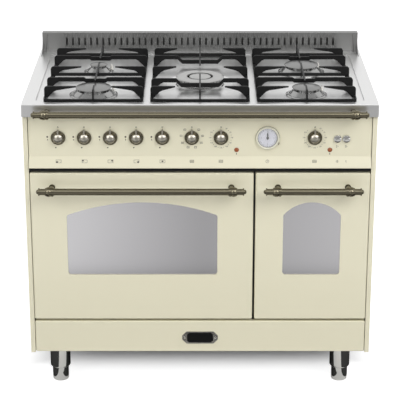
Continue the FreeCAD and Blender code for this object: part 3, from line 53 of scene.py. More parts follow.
# %% [markdown]
# ## The base of every finish
#
# Real edges are never razor sharp. A Bevel node rounds the light on each edge without touching the
# mesh, and a fine noise through a Bump node gives the slight waviness that sheet and enamel have.
# Modelled bevels would also do it, but they would change pieces whose size is already settled.

# %% A helper for finishes
EDGE_ROUND = 0.5 * MM
EDGE_SAMPLES = 6
WAVE_HEIGHT = 0.2 * MM
COAT_ROUGHNESS = 0.06
GRAIN_DETAIL = 3.0
EVEN = (1.0, 1.0, 1.0)


def grain(tree, scale, stretch):
    """Noise in the object's own space, drawn out by the stretch."""
    place = tree.nodes.new("ShaderNodeTexCoord")
    mapping = tree.nodes.new("ShaderNodeMapping")
    mapping.inputs["Scale"].default_value = stretch
    noise = tree.nodes.new("ShaderNodeTexNoise")
    noise.inputs["Scale"].default_value = scale
    noise.inputs["Detail"].default_value = GRAIN_DETAIL
    tree.links.new(place.outputs["Object"], mapping.inputs["Vector"])
    tree.links.new(mapping.outputs["Vector"], noise.inputs["Vector"])
    return noise


def finish(name, colour, roughness, metallic=0.0, coat=0.0, wave=(0.0, 1.0), specular=0.5):
    """A principled material with rounded edges and a surface wave of (strength, scale)."""
    material = bpy.data.materials.new(name)
    material.use_nodes = True
    tree = material.node_tree
    shader = tree.nodes["Principled BSDF"]
    shader.inputs["Base Color"].default_value = (*colour, 1.0)
    shader.inputs["Roughness"].default_value = roughness
    shader.inputs["Metallic"].default_value = metallic
    shader.inputs["Coat Weight"].default_value = coat
    shader.inputs["Coat Roughness"].default_value = COAT_ROUGHNESS
    shader.inputs["Specular IOR Level"].default_value = specular
    edge = tree.nodes.new("ShaderNodeBevel")
    edge.samples = EDGE_SAMPLES
    edge.inputs["Radius"].default_value = EDGE_ROUND
    if wave[0]:
        noise = grain(tree, wave[1], EVEN)
        bump = tree.nodes.new("ShaderNodeBump")
        bump.inputs["Strength"].default_value = wave[0]
        bump.inputs["Distance"].default_value = WAVE_HEIGHT
        tree.links.new(noise.outputs["Fac"], bump.inputs["Height"])
        tree.links.new(edge.outputs["Normal"], bump.inputs["Normal"])
        tree.links.new(bump.outputs["Normal"], shader.inputs["Normal"])
    else:
        tree.links.new(edge.outputs["Normal"], shader.inputs["Normal"])
    return material


print("finish helper ready")

# %% [markdown]
# ## A gloss that wanders
#
# No real sheet is equally glossy all over: hands, brushes and the oven leave slow changes. A noise
# in the object's own space moves the roughness between two values that lie close together. A painted
# map could say it more exactly, but noise needs no unwrapping and no picture.

# %% A helper for a gloss that wanders
def vary(material, scale, stretch, low, high):
    """Let the roughness wander between low and high over the surface."""
    tree = material.node_tree
    noise = grain(tree, scale, stretch)
    span = tree.nodes.new("ShaderNodeMapRange")
    span.inputs["To Min"].default_value = low
    span.inputs["To Max"].default_value = high
    tree.links.new(noise.outputs["Fac"], span.inputs["Value"])
    tree.links.new(span.outputs["Result"], tree.nodes["Principled BSDF"].inputs["Roughness"])


print("wandering gloss ready")

# %% [markdown]
# ## Cream enamel
#
# The doors, panel and sides are glass fused on steel: a warm colour under a clear, hard gloss. A low
# roughness alone could give the gloss, but reads as wet plastic. So a coat layer carries it over a
# duller body, and a very weak, wide wave keeps large flats from looking printed.

# %% Cream enamel
finishes = {}
cream = (0.81, 0.77, 0.585)
finishes["cream_enamel"] = finish("cream_enamel", cream, 0.34, coat=0.45, wave=(0.04, 14.0))
vary(finishes["cream_enamel"], 9.0, EVEN, 0.31, 0.37)
print("cream enamel")

# %% [markdown]
# ## Brushed stainless
#
# The hob and the upstand are brushed along their width. A fine change of gloss, drawn out along X,
# stands for that grain. A bump would do it too, but at this size it turns the sheet into crumpled foil.
# The upstand gets a darker copy of the steel with a rougher grain: the darkness is painted shade,
# for the darker room that its upright face mirrors.

# %% Stainless and zinc-coated sheet
BRUSHED = (3.0, 90.0, 90.0)
finishes["brushed_stainless"] = finish("brushed_stainless", (0.78, 0.78, 0.775), 0.30, metallic=1.0)
vary(finishes["brushed_stainless"], 4.0, BRUSHED, 0.28, 0.34)
# A darker copy of the steel for the upstand: painted shade.
shaded_upright_steel = finish("shaded_upright_stainless", (0.30, 0.30, 0.295), 0.42, metallic=1.0)
vary(shaded_upright_steel, 4.0, BRUSHED, 0.40, 0.45)
# The trim steel under the lip is coloured near black: painted shade for the dark gap it sits in.
finishes["trim_steel"] = finish("trim_steel", (0.012, 0.012, 0.012), 0.38, specular=0.25)
finishes["galvanised_steel"] = finish("galvanised_steel", (0.55, 0.56, 0.57), 0.48, metallic=0.9)
vary(finishes["galvanised_steel"], 60.0, EVEN, 0.40, 0.58)
print("stainless, trim, zinc")

# %% [markdown]
# ## Aged bronze
#
# The rail, handles and knobs are plated, darkened and then polished on the lathe, so they are smooth:
# their look comes from what they mirror. A bump would make them look cast, so only the gloss wanders
# a little, as hand polish does. A second, lighter bronze is for where fingers have polished the dark
# layer through; it is also a painted highlight, for the light that those knob heads catch.

# %% Aged bronze
finishes["aged_bronze"] = finish("aged_bronze", (0.195, 0.174, 0.122), 0.20, metallic=1.0)
vary(finishes["aged_bronze"], 30.0, EVEN, 0.18, 0.24)
# Lighter bronze for knob heads and pointers: worn metal, and a painted highlight for the light they catch.
worn_and_highlit_bronze = finish("worn_and_highlit_bronze", (0.50, 0.47, 0.40), 0.30, metallic=1.0)
print("aged bronze")

# %% [markdown]
# ## The hot pieces
#
# Pan supports and oven linings are black enamel, the burner crowns polished alloy, and the caps a
# satin grey enamel, lighter on the triple crown in the middle. The supports get a fine pebble, because
# enamel on a bar pulls back from edges. Heat colours could be added, but a new cooker has none.

# %% Black enamel, alloy and caps
support_black = (0.012, 0.012, 0.012)
finishes["support_enamel"] = finish("support_enamel", support_black, 0.40, wave=(0.10, 220.0),
                                    specular=0.16)
finishes["black_enamel"] = finish("black_enamel", (0.020, 0.020, 0.021), 0.32, coat=0.3, wave=(0.05, 40.0))
vary(finishes["black_enamel"], 30.0, EVEN, 0.26, 0.40)
finishes["burner_alloy"] = finish("burner_alloy", (0.38, 0.38, 0.375), 0.20, metallic=1.0)
vary(finishes["burner_alloy"], 70.0, EVEN, 0.18, 0.23)
finishes["cap_enamel"] = finish("cap_enamel", (0.25, 0.25, 0.245), 0.30, metallic=0.95)
triple_cap = finish("triple_cap", (0.47, 0.47, 0.46), 0.32, metallic=0.95)
finishes["element_steel"] = finish("element_steel", (0.13, 0.12, 0.11), 0.5, metallic=0.8)
finishes["plug_ceramic"] = finish("plug_ceramic", (0.82, 0.80, 0.75), 0.2, coat=0.4)
finishes["fan_steel"] = finish("fan_steel", (0.5, 0.5, 0.5), 0.4, metallic=1.0)
print("hot pieces")

# %% [markdown]
# ## Chrome, glass and small fittings
#
# Chrome is nearly white metal with hardly any roughness. The oven windows are mirror-coated from
# behind, so from outside they read as grey metal under gloss rather than as something to look through.
# A clear pane with a coat behind it could be built, but would take longer to show the same grey.

# %% Chrome, window glass and small fittings
finishes["shelf_chrome"] = finish("shelf_chrome", (0.74, 0.735, 0.71), 0.07, metallic=1.0)
finishes["mirror_glass"] = finish("mirror_glass", (0.64, 0.63, 0.645), 0.12, metallic=1.0, coat=0.3)
finishes["seal_rubber"] = finish("seal_rubber", (0.030, 0.030, 0.030), 0.7, wave=(0.1, 160.0))
finishes["gas_brass"] = finish("gas_brass", (0.62, 0.46, 0.20), 0.28, metallic=1.0)
finishes["switch_plastic"] = finish("switch_plastic", (0.045, 0.045, 0.045), 0.5)
finishes["lamp_lens"] = finish("lamp_lens", (0.31, 0.080, 0.020), 0.24, coat=0.3)
finishes["clock_gilt"] = finish("clock_gilt", (0.78, 0.76, 0.62), 0.28, coat=0.5)
finishes["hand_black"] = finish("hand_black", (0.03, 0.03, 0.03), 0.35)
print(len(finishes), "finishes")

# %% [markdown]
# ## Dressing the pieces
#
# The record says which finish each piece takes. Each mesh keeps its shape and place, and the exact
# normals that it came with: only its material changes. One piece departs from the record's list: the
# upstand at the wall gets a darker copy of the steel, a painted shade for the darker room it mirrors.
# A loop over the record is chosen over sixty lines, because then no piece can be forgotten.

# %% Dress the pieces
for row in frame["record"]["subparts"]:
    piece = frame["nodes"][row["node"]]
    piece.data.materials.clear()
    piece.data.materials.append(finishes[row["material_slot"]])
# The upstand takes the darker copy of the steel: painted shade.
frame["nodes"]["backguard"].data.materials[0] = shaded_upright_steel

# %% [markdown]
# ## Lighter bronze on the knobs: wear and painted highlight
#
# Fingers polish the dark layer off a knob's head and pointer, and those raised parts also catch the
# most light, so both get a lighter bronze than the skirt: partly wear, partly a painted highlight. A
# second material slot shows that without cutting the mesh: each face gets the slot that suits the
# place of its middle. Two objects would do it too, but would make two pieces of what is one.

# %% Lighter bronze on each knob's head and pointer: wear and painted highlight
gas_knobs = ["gas_knob_" + str(i) for i in range(1, 6)]
oven_knobs = ["function_knob", "large_oven_knob", "small_oven_knob"]
knob_names = gas_knobs + oven_knobs
panel_low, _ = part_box("control_panel")
LIP_REACH = 14 * MM
panel_face = panel_low.y + LIP_REACH
HEAD_RADIUS = 13.2 * MM
HEAD_FOOT = 9.5 * MM
POINTER_HALF = 2.4 * MM


def knob_centre(name):
    """Middle of a knob from its box; its pointer reaches further up than its skirt reaches down."""
    low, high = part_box(name)
    return (low.x + high.x) / 2, low.z + (high.x - low.x) / 2


for name in knob_names:
    knob = frame["nodes"][name]
    knob.data.materials.append(worn_and_highlit_bronze)
    middle = knob_centre(name)
    for face in knob.data.polygons:
        spot = knob.matrix_world @ face.center
        across, up, out = spot.x - middle[0], spot.z - middle[1], panel_face - spot.y
        head = math.hypot(across, up) < HEAD_RADIUS and out > HEAD_FOOT
        pointer = abs(across) < POINTER_HALF and up > HEAD_RADIUS
        face.material_index = int(head or pointer)
print(len(knob_names), "knobs with a worn head and pointer")

# %% [markdown]
# ## A lighter grey in the middle
#
# The triple crown in the middle has caps of a lighter grey than the four single burners. All six caps
# are one mesh, so the same way serves: faces near the cooker's middle get the lighter slot.

# %% A lighter grey on the middle burner's caps
TRIPLE_REACH = 100 * MM
caps = frame["nodes"]["burner_caps"]
caps.data.materials.append(triple_cap)
for face in caps.data.polygons:
    face.material_index = int(abs((caps.matrix_world @ face.center).x) < TRIPLE_REACH)
print("triple crown caps")

# %% [markdown]
# ## Making thin printed marks
#
# Signs on an enamel panel are ink a fraction of a millimetre thick. Each is drawn here as flat
# outlines in the panel's own directions: dots, strokes, rings and oblongs. A painted texture would
# also do, but outlines stay crisp at any distance.

# %% Outlines to draw with
def disc(x, z, radius, steps=20):
    """A round dot, as the corners of a polygon."""
    turns = [2 * math.pi * i / steps for i in range(steps)]
    return [(x + radius * math.cos(turn), z + radius * math.sin(turn)) for turn in turns]


def stroke(x0, z0, x1, z1, width):
    """A bar from one point to another."""
    run = Vector((x1 - x0, z1 - z0))
    side = Vector((-run.y, run.x)).normalized() * width / 2
    return [(x0 + side.x, z0 + side.y), (x0 - side.x, z0 - side.y),
            (x1 - side.x, z1 - side.y), (x1 + side.x, z1 + side.y)]


def line_ring(x, z, wide, high, width, steps=24):
    """An ellipse, drawn as short strokes."""
    points = []
    for i in range(steps + 1):
        angle = math.radians(360 * i / steps)
        points.append((x + wide * math.cos(angle), z + high * math.sin(angle)))
    return [stroke(*a, *b, width) for a, b in zip(points, points[1:])]


def box_sign(x, z, half_w, half_h, width):
    """Four strokes round an oblong."""
    corners = [(x - half_w, z - half_h), (x + half_w, z - half_h),
               (x + half_w, z + half_h), (x - half_w, z + half_h)]
    return [stroke(*a, *b, width) for a, b in zip(corners, corners[1:] + corners[:1])]


print("outlines ready")

# %% [markdown]
# ## From outlines to one print
#
# All the outlines of one print become one mesh, each with a hair of thickness, so that the ink lies
# on the enamel and doesn't flicker in it. Curve objects could hold the outlines too, but a mesh made
# directly is closed and stays what it is when it is exported.

# %% A helper for printed marks
INK = 0.12 * MM


def printed(name, outlines, place, outward, body, material):
    """One mesh of flat outlines; place turns (across, up) into a point, outward is the print's normal."""
    mesh = bpy.data.meshes.new(name)
    work = bmesh.new()
    for outline in outlines:
        face = work.faces.new([work.verts.new(place(a, b)) for a, b in outline])
        solid = bmesh.ops.extrude_face_region(work, geom=[face])
        raised = [v for v in solid["geom"] if isinstance(v, bmesh.types.BMVert)]
        bmesh.ops.translate(work, verts=raised, vec=Vector(outward) * INK)
    bmesh.ops.recalc_face_normals(work, faces=work.faces)
    work.to_mesh(mesh)
    work.free()
    piece = bpy.data.objects.new(name, mesh)
    bpy.context.scene.collection.objects.link(piece)
    mesh.materials.append(material)
    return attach(piece, body)


ink = finish("panel_ink", (0.045, 0.038, 0.028), 0.5)
print("print helper ready")

# %% [markdown]
# ## Printed numbers
#
# The thermostats and the clock carry plain numbers. Strokes could form them, but Blender's text
# objects already do it well, in its own font. They are then turned into meshes and joined, because
# a print is one piece.

# %% A helper for printed numbers
def numbers(name, items, size, face, material):
    """Plain numbers in the front's plane, joined into one piece; each item is (text, across, up)."""
    made = []
    for text, x, z in items:
        letter = bpy.data.curves.new(name, "FONT")
        letter.body = text
        letter.size = size
        letter.align_x = "CENTER"
        letter.align_y = "CENTER"
        letter.extrude = INK / 2
        holder = bpy.data.objects.new(name, letter)
        bpy.context.scene.collection.objects.link(holder)
        holder.location = (x, face - INK / 2, z)
        holder.rotation_euler = (math.pi / 2, 0, 0)
        made.append(holder)
    bpy.ops.object.select_all(action="DESELECT")
    for holder in made:
        holder.select_set(True)
    bpy.context.view_layer.objects.active = made[0]
    bpy.ops.object.convert(target="MESH")
    bpy.ops.object.join()
    piece = bpy.context.view_layer.objects.active
    piece.name = name
    piece.data.materials.clear()
    piece.data.materials.append(material)
    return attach(piece, "root")


print("number helper ready")

# %% [markdown]
# ## Marks round the controls
#
# Each gas knob has an off ring above it, a large and a small flame dot on its left and a low mark;
# the two thermostats have plain numbers round them; the function knob has a small oblong sign for
# each function, with its bars above, below or across for heat from above, below or all round. Each
# place is an angle about the knob's own middle, so the marks follow when the knob's place changes.

# %% Marks round the controls
MARK_RADIUS = 30.5 * MM


def at_angle(centre, degrees, radius):
    """The point at an angle round a centre, counted from the right and upwards."""
    angle = math.radians(degrees)
    return centre[0] + radius * math.cos(angle), centre[1] + radius * math.sin(angle)


def on_panel(across, up):
    """A point on the flat part of the panel."""
    return Vector((across, panel_face, up))


OFF_RING = (1.6 * MM, 2.1 * MM, 0.9 * MM)
FLAME_DOTS = ((176, 2.6 * MM), (192, 1.7 * MM), (256, 1.9 * MM))
FUNCTION_SIGN = (3.2 * MM, 2.3 * MM, 0.8 * MM)
FUNCTION_BARS = ((1.1 * MM,), (-1.1 * MM,), (1.1 * MM, -1.1 * MM), (0,))
FUNCTION_STEP = 40
BAR_HALF = 2.0 * MM
BAR_LINE = 0.7 * MM
NUMBER_STEP = 30
NUMBER_SIZE = 5.2 * MM
HEAT_STEP = 25
TICK_LENGTH = 2.4 * MM
TICK_LINE = 0.9 * MM
marks = []
heats = []
for name in knob_names:
    centre = knob_centre(name)
    marks += line_ring(*at_angle(centre, 90, MARK_RADIUS), *OFF_RING)
    if name in gas_knobs:
        for degrees, radius in FLAME_DOTS:
            marks.append(disc(*at_angle(centre, degrees, MARK_RADIUS), radius))
    elif name == "function_knob":
        for i in range(1, 9):
            x, z = at_angle(centre, 90 - FUNCTION_STEP * i, MARK_RADIUS)
            marks += box_sign(x, z, *FUNCTION_SIGN)
            for rise in FUNCTION_BARS[i % 4]:
                marks.append(stroke(x - BAR_HALF, z + rise, x + BAR_HALF, z + rise, BAR_LINE))
    else:
        for i in range(1, 11):
            heats.append((str(HEAT_STEP * (i + 1)), *at_angle(centre, 90 - NUMBER_STEP * i, MARK_RADIUS)))
            tick = 90 - NUMBER_STEP * (i + 0.5)
            inner, outer = (at_angle(centre, tick, MARK_RADIUS - length) for length in (TICK_LENGTH, 0.0))
            marks.append(stroke(*inner, *outer, TICK_LINE))
printed("control_marks", marks, on_panel, (0, -1, 0), "root", ink)
numbers("thermostat_numbers", heats, NUMBER_SIZE, panel_face, ink)
print(len(marks), "strokes and", len(heats), "numbers round the controls")

# %% [markdown]
# ## The slope of the lip
#
# The signs that say what each control works are on the lip under the knobs, which leans out. They
# have to lie on that slope. Turned objects could do it, but here the slope's own directions are
# worked out once, and each sign is drawn in them.

# %% The slope of the lip
LIP_TOP = panel_low.z + 32 * MM
LIP_FOOT = panel_low.z + 3 * MM
SIGN_SHARE = 0.46
slope = Vector((0, -LIP_REACH, LIP_FOOT - LIP_TOP))
down = slope.normalized()
lip_out = Vector((0, down.z, -down.y))
lip_mid = Vector((0, panel_face, LIP_TOP)) + slope * SIGN_SHARE


def on_lip(across, up):
    """A point on the slope, counted from the row of signs."""
    return lip_mid - down * up + Vector((across, 0, 0))


print("the lip drops", round(math.degrees(math.acos(-down.y)), 1), "degrees below level")

# %% [markdown]
# ## Signs for the burners and the ovens
#
# Each hob sign shows the five burners as dots in an oblong, with the one in question large. The three
# oven knobs have a small barred box. Each could be drawn by hand; a loop over the knobs draws all
# eight alike, and puts each of them straight under its own knob.

# %% Signs for the burners and the ovens
BURNER_SPOTS = [(-4.4, -1.9), (-4.4, 1.9), (4.4, 1.9), (4.4, -1.9), (0, 0)]
HOB_SIGN = (7.4 * MM, 4.2 * MM, 0.7 * MM)
LIT_DOT = 2.5 * MM
UNLIT_DOT = 0.6 * MM
OVEN_SIGN = (5.4 * MM, 3.6 * MM, 0.9 * MM)
SHELF_HALF = 4.6 * MM
SHELF_LINE = 1.1 * MM
signs = []
for lit, name in enumerate(gas_knobs):
    x = knob_centre(name)[0]
    signs += box_sign(x, 0, *HOB_SIGN)
    for i, (dx, dz) in enumerate(BURNER_SPOTS):
        signs.append(disc(x + dx * MM, dz * MM, LIT_DOT if i == lit else UNLIT_DOT, 12))
for name in oven_knobs:
    x = knob_centre(name)[0]
    signs += box_sign(x, 0, *OVEN_SIGN)
    for rise in (-1.2 * MM, 1.2 * MM):
        signs.append(stroke(x - SHELF_HALF, rise, x + SHELF_HALF, rise, SHELF_LINE))
print(len(signs), "strokes for burners and ovens")

# %% [markdown]
# ## Signs for the buttons and the clock
#
# Under the two buttons are a lamp with its rays and a spark, under the clock a small clock face. They
# join the other signs of the lip, because all of them were printed in one go.

# %% Signs for the buttons and the clock
SIGN_LINE = 0.8 * MM
RAY_LINE = 0.6 * MM
RAYS = (2.8 * MM, 4.2 * MM)
LAMP_RING = 2.0 * MM
CLOCK_RING = 4.2 * MM
button_x = [(low.x + high.x) / 2 for low, high in (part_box("light_button"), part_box("ignition_button"))]
light_x, spark_x = button_x
signs += line_ring(light_x, 0, LAMP_RING, LAMP_RING, SIGN_LINE)
for degrees in range(0, 360, 45):
    inner, outer = (at_angle((light_x, 0), degrees, reach) for reach in RAYS)
    signs.append(stroke(*inner, *outer, RAY_LINE))
zigzag = [(spark_x + a * MM, b * MM) for a, b in ((-1.2, 3.6), (0.9, 0.7), (-0.9, 0.2), (1.0, -3.6))]
signs += [stroke(*a, *b, SIGN_LINE) for a, b in zip(zigzag, zigzag[1:])]
clock_low, clock_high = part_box("clock_case")
clock_x = (clock_low.x + clock_high.x) / 2
clock_z = (clock_low.z + clock_high.z) / 2
signs += line_ring(clock_x, 0, CLOCK_RING, CLOCK_RING, SIGN_LINE)
signs.append(stroke(clock_x, 0, clock_x, 3.0 * MM, SIGN_LINE))
signs.append(stroke(clock_x, 0, clock_x + 2.2 * MM, 0, SIGN_LINE))
printed("lip_signs", signs, on_lip, lip_out, "root", ink)
print(len(signs), "strokes on the lip")

# %% [markdown]
# ## Signs by the lamps and buttons
#
# A small thermometer under each lamp says what it reports, and an arrowhead under each of the two
# push buttons says that it is pressed. They are on the flat part of the panel, so they are a print of
# their own, apart from the signs on the slope.

# %% Signs by the lamps and buttons
UNDER_LAMP = 12.0 * MM
UNDER_BUTTON = 23.0 * MM
BULB_RADIUS = 1.5 * MM
STEM_LINE = 1.1 * MM
ARROW_LINE = 0.7 * MM
small_signs = []
lamp_low, lamp_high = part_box("indicator_lamps")
lamp_radius = (lamp_high.z - lamp_low.z) / 2
for x in (lamp_low.x + lamp_radius, lamp_high.x - lamp_radius):
    z = lamp_low.z + lamp_radius - UNDER_LAMP
    small_signs.append(disc(x, z - 0.6 * MM, BULB_RADIUS, 12))
    small_signs.append(stroke(x, z, x, z + 3.0 * MM, STEM_LINE))
button_low, button_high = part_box("light_button")
for x in button_x:
    z = (button_low.z + button_high.z) / 2 - UNDER_BUTTON
    corners = [(x - 2.6 * MM, z - 3.0 * MM), (x + 3.2 * MM, z), (x - 2.6 * MM, z + 3.0 * MM)]
    small_signs += [stroke(*a, *b, ARROW_LINE) for a, b in zip(corners, corners[1:] + corners[:1])]
printed("small_signs", small_signs, on_panel, (0, -1, 0), "root", ink)
print(len(small_signs), "strokes by the lamps and buttons")

# %% [markdown]
# ## Clock dial
#
# The dial is a thin, cool white disc. It carries a bar for each hour, a dot for each minute between,
# three thin rings and four plain numerals. They are printed marks like those on the panel, so the
# same helpers draw them.

# %% Clock dial
DIAL_DEPTH = 5 * MM
dial_back = clock_low.y + DIAL_DEPTH
DIAL = 28 * MM
PAPER = 0.15 * MM
dial_face = dial_back - PAPER
dial_paper = finish("dial_paper", (0.68, 0.68, 0.75), 0.5)
DIAL_RINGS = ((0.975, 0.8 * MM), (0.93, 0.35 * MM), (0.80, 0.30 * MM))
MINUTE_SHARE = 0.865
MINUTE_DOT = 0.35 * MM
HOUR_SHARES = (0.82, 0.91)
HOUR_LINE = 1.1 * MM
NUMERAL_SHARE = 0.64
NUMERAL_SIZE = 6.0 * MM
clock_spot = (clock_x, clock_z)
dial_marks = []
for share, width in DIAL_RINGS:
    dial_marks += line_ring(*clock_spot, DIAL * share, DIAL * share, width, steps=60)
for i in range(60):
    if i % 5:
        dial_marks.append(disc(*at_angle(clock_spot, 6 * i, DIAL * MINUTE_SHARE), MINUTE_DOT, 8))
    else:
        inner, outer = (at_angle(clock_spot, 6 * i, DIAL * share) for share in HOUR_SHARES)
        dial_marks.append(stroke(*inner, *outer, HOUR_LINE))


def on_dial(across, up):
    """A point on the face of the dial."""
    return Vector((across, dial_face, up))


printed("dial_marks", dial_marks, on_dial, (0, -1, 0), "root", finishes["hand_black"])
numerals = [(text, *at_angle(clock_spot, degrees, DIAL * NUMERAL_SHARE))
            for text, degrees in (("12", 90), ("3", 0), ("6", 270), ("9", 180))]
numbers("dial_numerals", numerals, NUMERAL_SIZE, dial_face, finishes["hand_black"])
print(len(dial_marks), "dial marks and", len(numerals), "numerals")

# %% [markdown]
# ## Turned pieces
#
# The clock's glass, the dark ring round its case that paints the shadow of the gap there, the grip on
# its crown and the plate's screws are all round. A Spin or a Screw modifier could turn a drawn profile,
# but a short function that turns a list of points about any axis keeps edges round and walls even, and
# says their sizes in one line each.

# %% A helper for turned pieces
SHARP_ANGLE = math.radians(32)


def turned(name, profile, centre, material, body, steps=64, axis=(0, -1, 0)):
    """Turn (distance along the axis, radius) about an axis, which points out of the front unless given.

    A profile that ends where it began makes a closed ring.
    """
    lean = Vector((0, -1, 0)).rotation_difference(Vector(axis))
    mesh = bpy.data.meshes.new(name)
    work = bmesh.new()
    rings = []
    ring_shaped = profile[0] == profile[-1]
    for out, radius in profile[:-1] if ring_shaped else profile:
        if radius == 0:
            rings.append([work.verts.new(centre + lean @ Vector((0, -out, 0)))])
            continue
        turns = [2 * math.pi * i / steps for i in range(steps)]
        offsets = [Vector((radius * math.cos(turn), -out, radius * math.sin(turn))) for turn in turns]
        rings.append([work.verts.new(centre + lean @ offset) for offset in offsets])
    for lower, upper in zip(rings, rings[1:] + (rings[:1] if ring_shaped else [])):
        for i in range(steps):
            j = (i + 1) % steps
            below = [lower[i % len(lower)], lower[j % len(lower)]]
            above = [upper[j % len(upper)], upper[i % len(upper)]]
            work.faces.new(list(dict.fromkeys(below + above)))
    bmesh.ops.recalc_face_normals(work, faces=work.faces)
    work.to_mesh(mesh)
    work.free()
    mesh.shade_smooth()
    mesh.set_sharp_from_angle(angle=SHARP_ANGLE)
    mesh.materials.append(material)
    piece = bpy.data.objects.new(name, mesh)
    bpy.context.scene.collection.objects.link(piece)
    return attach(piece, body)


print("turning helper ready")

# %% [markdown]
# ## Clock glass and dial disc
#
# The glass is a shallow dome held by the bezel, and the dial under it a thin disc with a hole for the
# hands' shafts. A low Alpha lets the dial through and keeps a faint gloss on the dome. Transmission
# would bend the light as well, but in a pane this thin that shows as noise rather than as glass.

# %% Clock glass and dial disc
GLASS_ALPHA = 0.10
clear = finish("clock_glass", (0.95, 0.96, 0.96), 0.03)
clear.node_tree.nodes["Principled BSDF"].inputs["Alpha"].default_value = GLASS_ALPHA
dome = [(3.7 * MM, 0), (3.5 * MM, 12 * MM), (3.1 * MM, 22 * MM), (2.9 * MM, 27.6 * MM),
        (3.7 * MM, 27.6 * MM), (4.1 * MM, 22 * MM), (4.5 * MM, 12 * MM), (4.7 * MM, 0)]
clock_middle = Vector((clock_x, dial_back, clock_z))
turned("clock_glass", dome, clock_middle, clear, "root")
SHAFT_HOLE = 3.5 * MM
DIAL_EDGE = DIAL * 0.98
disc_profile = [(0, SHAFT_HOLE), (0, DIAL_EDGE), (PAPER, DIAL_EDGE), (PAPER, SHAFT_HOLE), (0, SHAFT_HOLE)]
turned("dial_disc", disc_profile, clock_middle, dial_paper, "root")
print("dial disc and clock glass")

# %% [markdown]
# ## Painted shadow ring round the clock, and crown grip
#
# A thin dark ring runs round the case where it meets the panel: a painted shadow for the gap there,
# in the seal rubber finish. The small crown at the case's side ends in a dark grip. Both are closed
# rings, whose profile ends where it began. The grip is turned about the crown's own leaning axis and
# rides with the crown.

# %% Painted shadow ring round the clock, and crown grip
CASE_RADIUS = (clock_high.z - clock_low.z) / 2
# The dark ring round the case is painted shadow, for the gap where the case meets the panel.
shadow_ring = [(0, CASE_RADIUS), (0.6 * MM, CASE_RADIUS), (0.6 * MM, CASE_RADIUS + 0.4 * MM),
          (0, CASE_RADIUS + 0.6 * MM), (0, CASE_RADIUS)]
turned("clock_shadow_ring", shadow_ring, Vector((clock_x, panel_face, clock_z)), finishes["seal_rubber"], "root")
crown_turn = math.radians(-28)
crown_axis = Vector((math.cos(crown_turn), 0, math.sin(crown_turn)))
crown_low, crown_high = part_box("clock_crown")
CROWN_RADIUS = 2.6 * MM
crown_end = (crown_high.x - clock_x + CROWN_RADIUS * math.sin(crown_turn)) / math.cos(crown_turn)
grip = [(-3.2 * MM, 2.7 * MM), (-3.0 * MM, 3.1 * MM), (-0.8 * MM, 3.1 * MM), (-0.4 * MM, 2.7 * MM),
        (-3.2 * MM, 2.7 * MM)]
grip_end = Vector((clock_x, (crown_low.y + crown_high.y) / 2, clock_z)) + crown_axis * crown_end
turned("crown_grip", grip, grip_end, finishes["aged_bronze"], "clock_crown", 24, crown_axis)
print("gasket and crown grip")

# %% [markdown]
# ## Raised plates
#
# A small metal plate with pointed ends sits on the drawer front, round a dark field with cut corners.
# Each is an outline given thickness, with its upper edge taken in a little, as a stamped plate's is.
# A cube with a Bevel modifier could make an oblong one, but not these ends.

# %% A helper for raised plates
PLATE_RISE = 46 * MM
drawer_low, drawer_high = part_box("drawer_front")
plate_x = (drawer_low.x + drawer_high.x) / 2
plate_z = drawer_low.z + PLATE_RISE


def raised_plate(name, outline, foot, rise, lean, material):
    """An outline in the front's plane, raised out of it with a leaning edge."""
    mesh = bpy.data.meshes.new(name)
    work = bmesh.new()
    rings = []
    for out, shrink in ((foot, 0.0), (foot + rise - lean, 0.0), (foot + rise, lean)):
        ring = []
        for a, b in outline:
            away = Vector((a, b)).normalized() * shrink
            ring.append(work.verts.new((plate_x + a - away.x, drawer_low.y - out, plate_z + b - away.y)))
        rings.append(ring)
    count = len(outline)
    for lower, upper in zip(rings, rings[1:]):
        for i in range(count):
            j = (i + 1) % count
            work.faces.new([lower[i], lower[j], upper[j], upper[i]])
    work.faces.new(rings[0])
    work.faces.new(rings[-1])
    bmesh.ops.recalc_face_normals(work, faces=work.faces)
    work.to_mesh(mesh)
    work.free()
    mesh.materials.append(material)
    piece = bpy.data.objects.new(name, mesh)
    bpy.context.scene.collection.objects.link(piece)
    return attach(piece, "drawer")


def cut_corners(half_w, half_h, cut_w, cut_h):
    """An oblong whose four corners are cut off."""
    low_row = [(-half_w, -half_h + cut_h), (-half_w + cut_w, -half_h), (half_w - cut_w, -half_h),
               (half_w, -half_h + cut_h)]
    return low_row + [(-a, -b) for a, b in low_row]


print("plate helper ready")

# %% [markdown]
# ## The plate on the drawer
#
# The plate is bright metal, its field a deep black enamel that mirrors little, and two round screws
# hold it. One mesh with several materials could show all of it, but separate pieces keep each edge
# crisp. All of them move with the drawer.

# %% The drawer plate
plate_metal = finish("plate_metal", (0.60, 0.58, 0.54), 0.26, metallic=1.0)
field_enamel = finish("plate_field", (0.006, 0.006, 0.006), 0.30, specular=0.2)
SCREW_REACH = 45 * MM
PLATE_THICK = 2.0 * MM
plate_outline = cut_corners(52.5 * MM, 19.5 * MM, 13 * MM, 13.5 * MM)
field_outline = cut_corners(38 * MM, 15.5 * MM, 6 * MM, 6 * MM)
raised_plate("drawer_plate", plate_outline, 0.0, PLATE_THICK, 0.6 * MM, plate_metal)
raised_plate("drawer_plate_field", field_outline, PLATE_THICK, 0.5 * MM, 0.2 * MM, field_enamel)
head = [(0, 0), (0, 3.2 * MM), (0.6 * MM, 3.2 * MM), (1.2 * MM, 2.4 * MM), (1.5 * MM, 1.2 * MM),
        (1.6 * MM, 0)]
for side, word in ((-1, "left"), (1, "right")):
    centre = Vector((plate_x + side * SCREW_REACH, drawer_low.y - PLATE_THICK, plate_z))
    turned("plate_screw_" + word, head, centre, plate_metal, "drawer", 24)
print("drawer plate, its field and two screws")

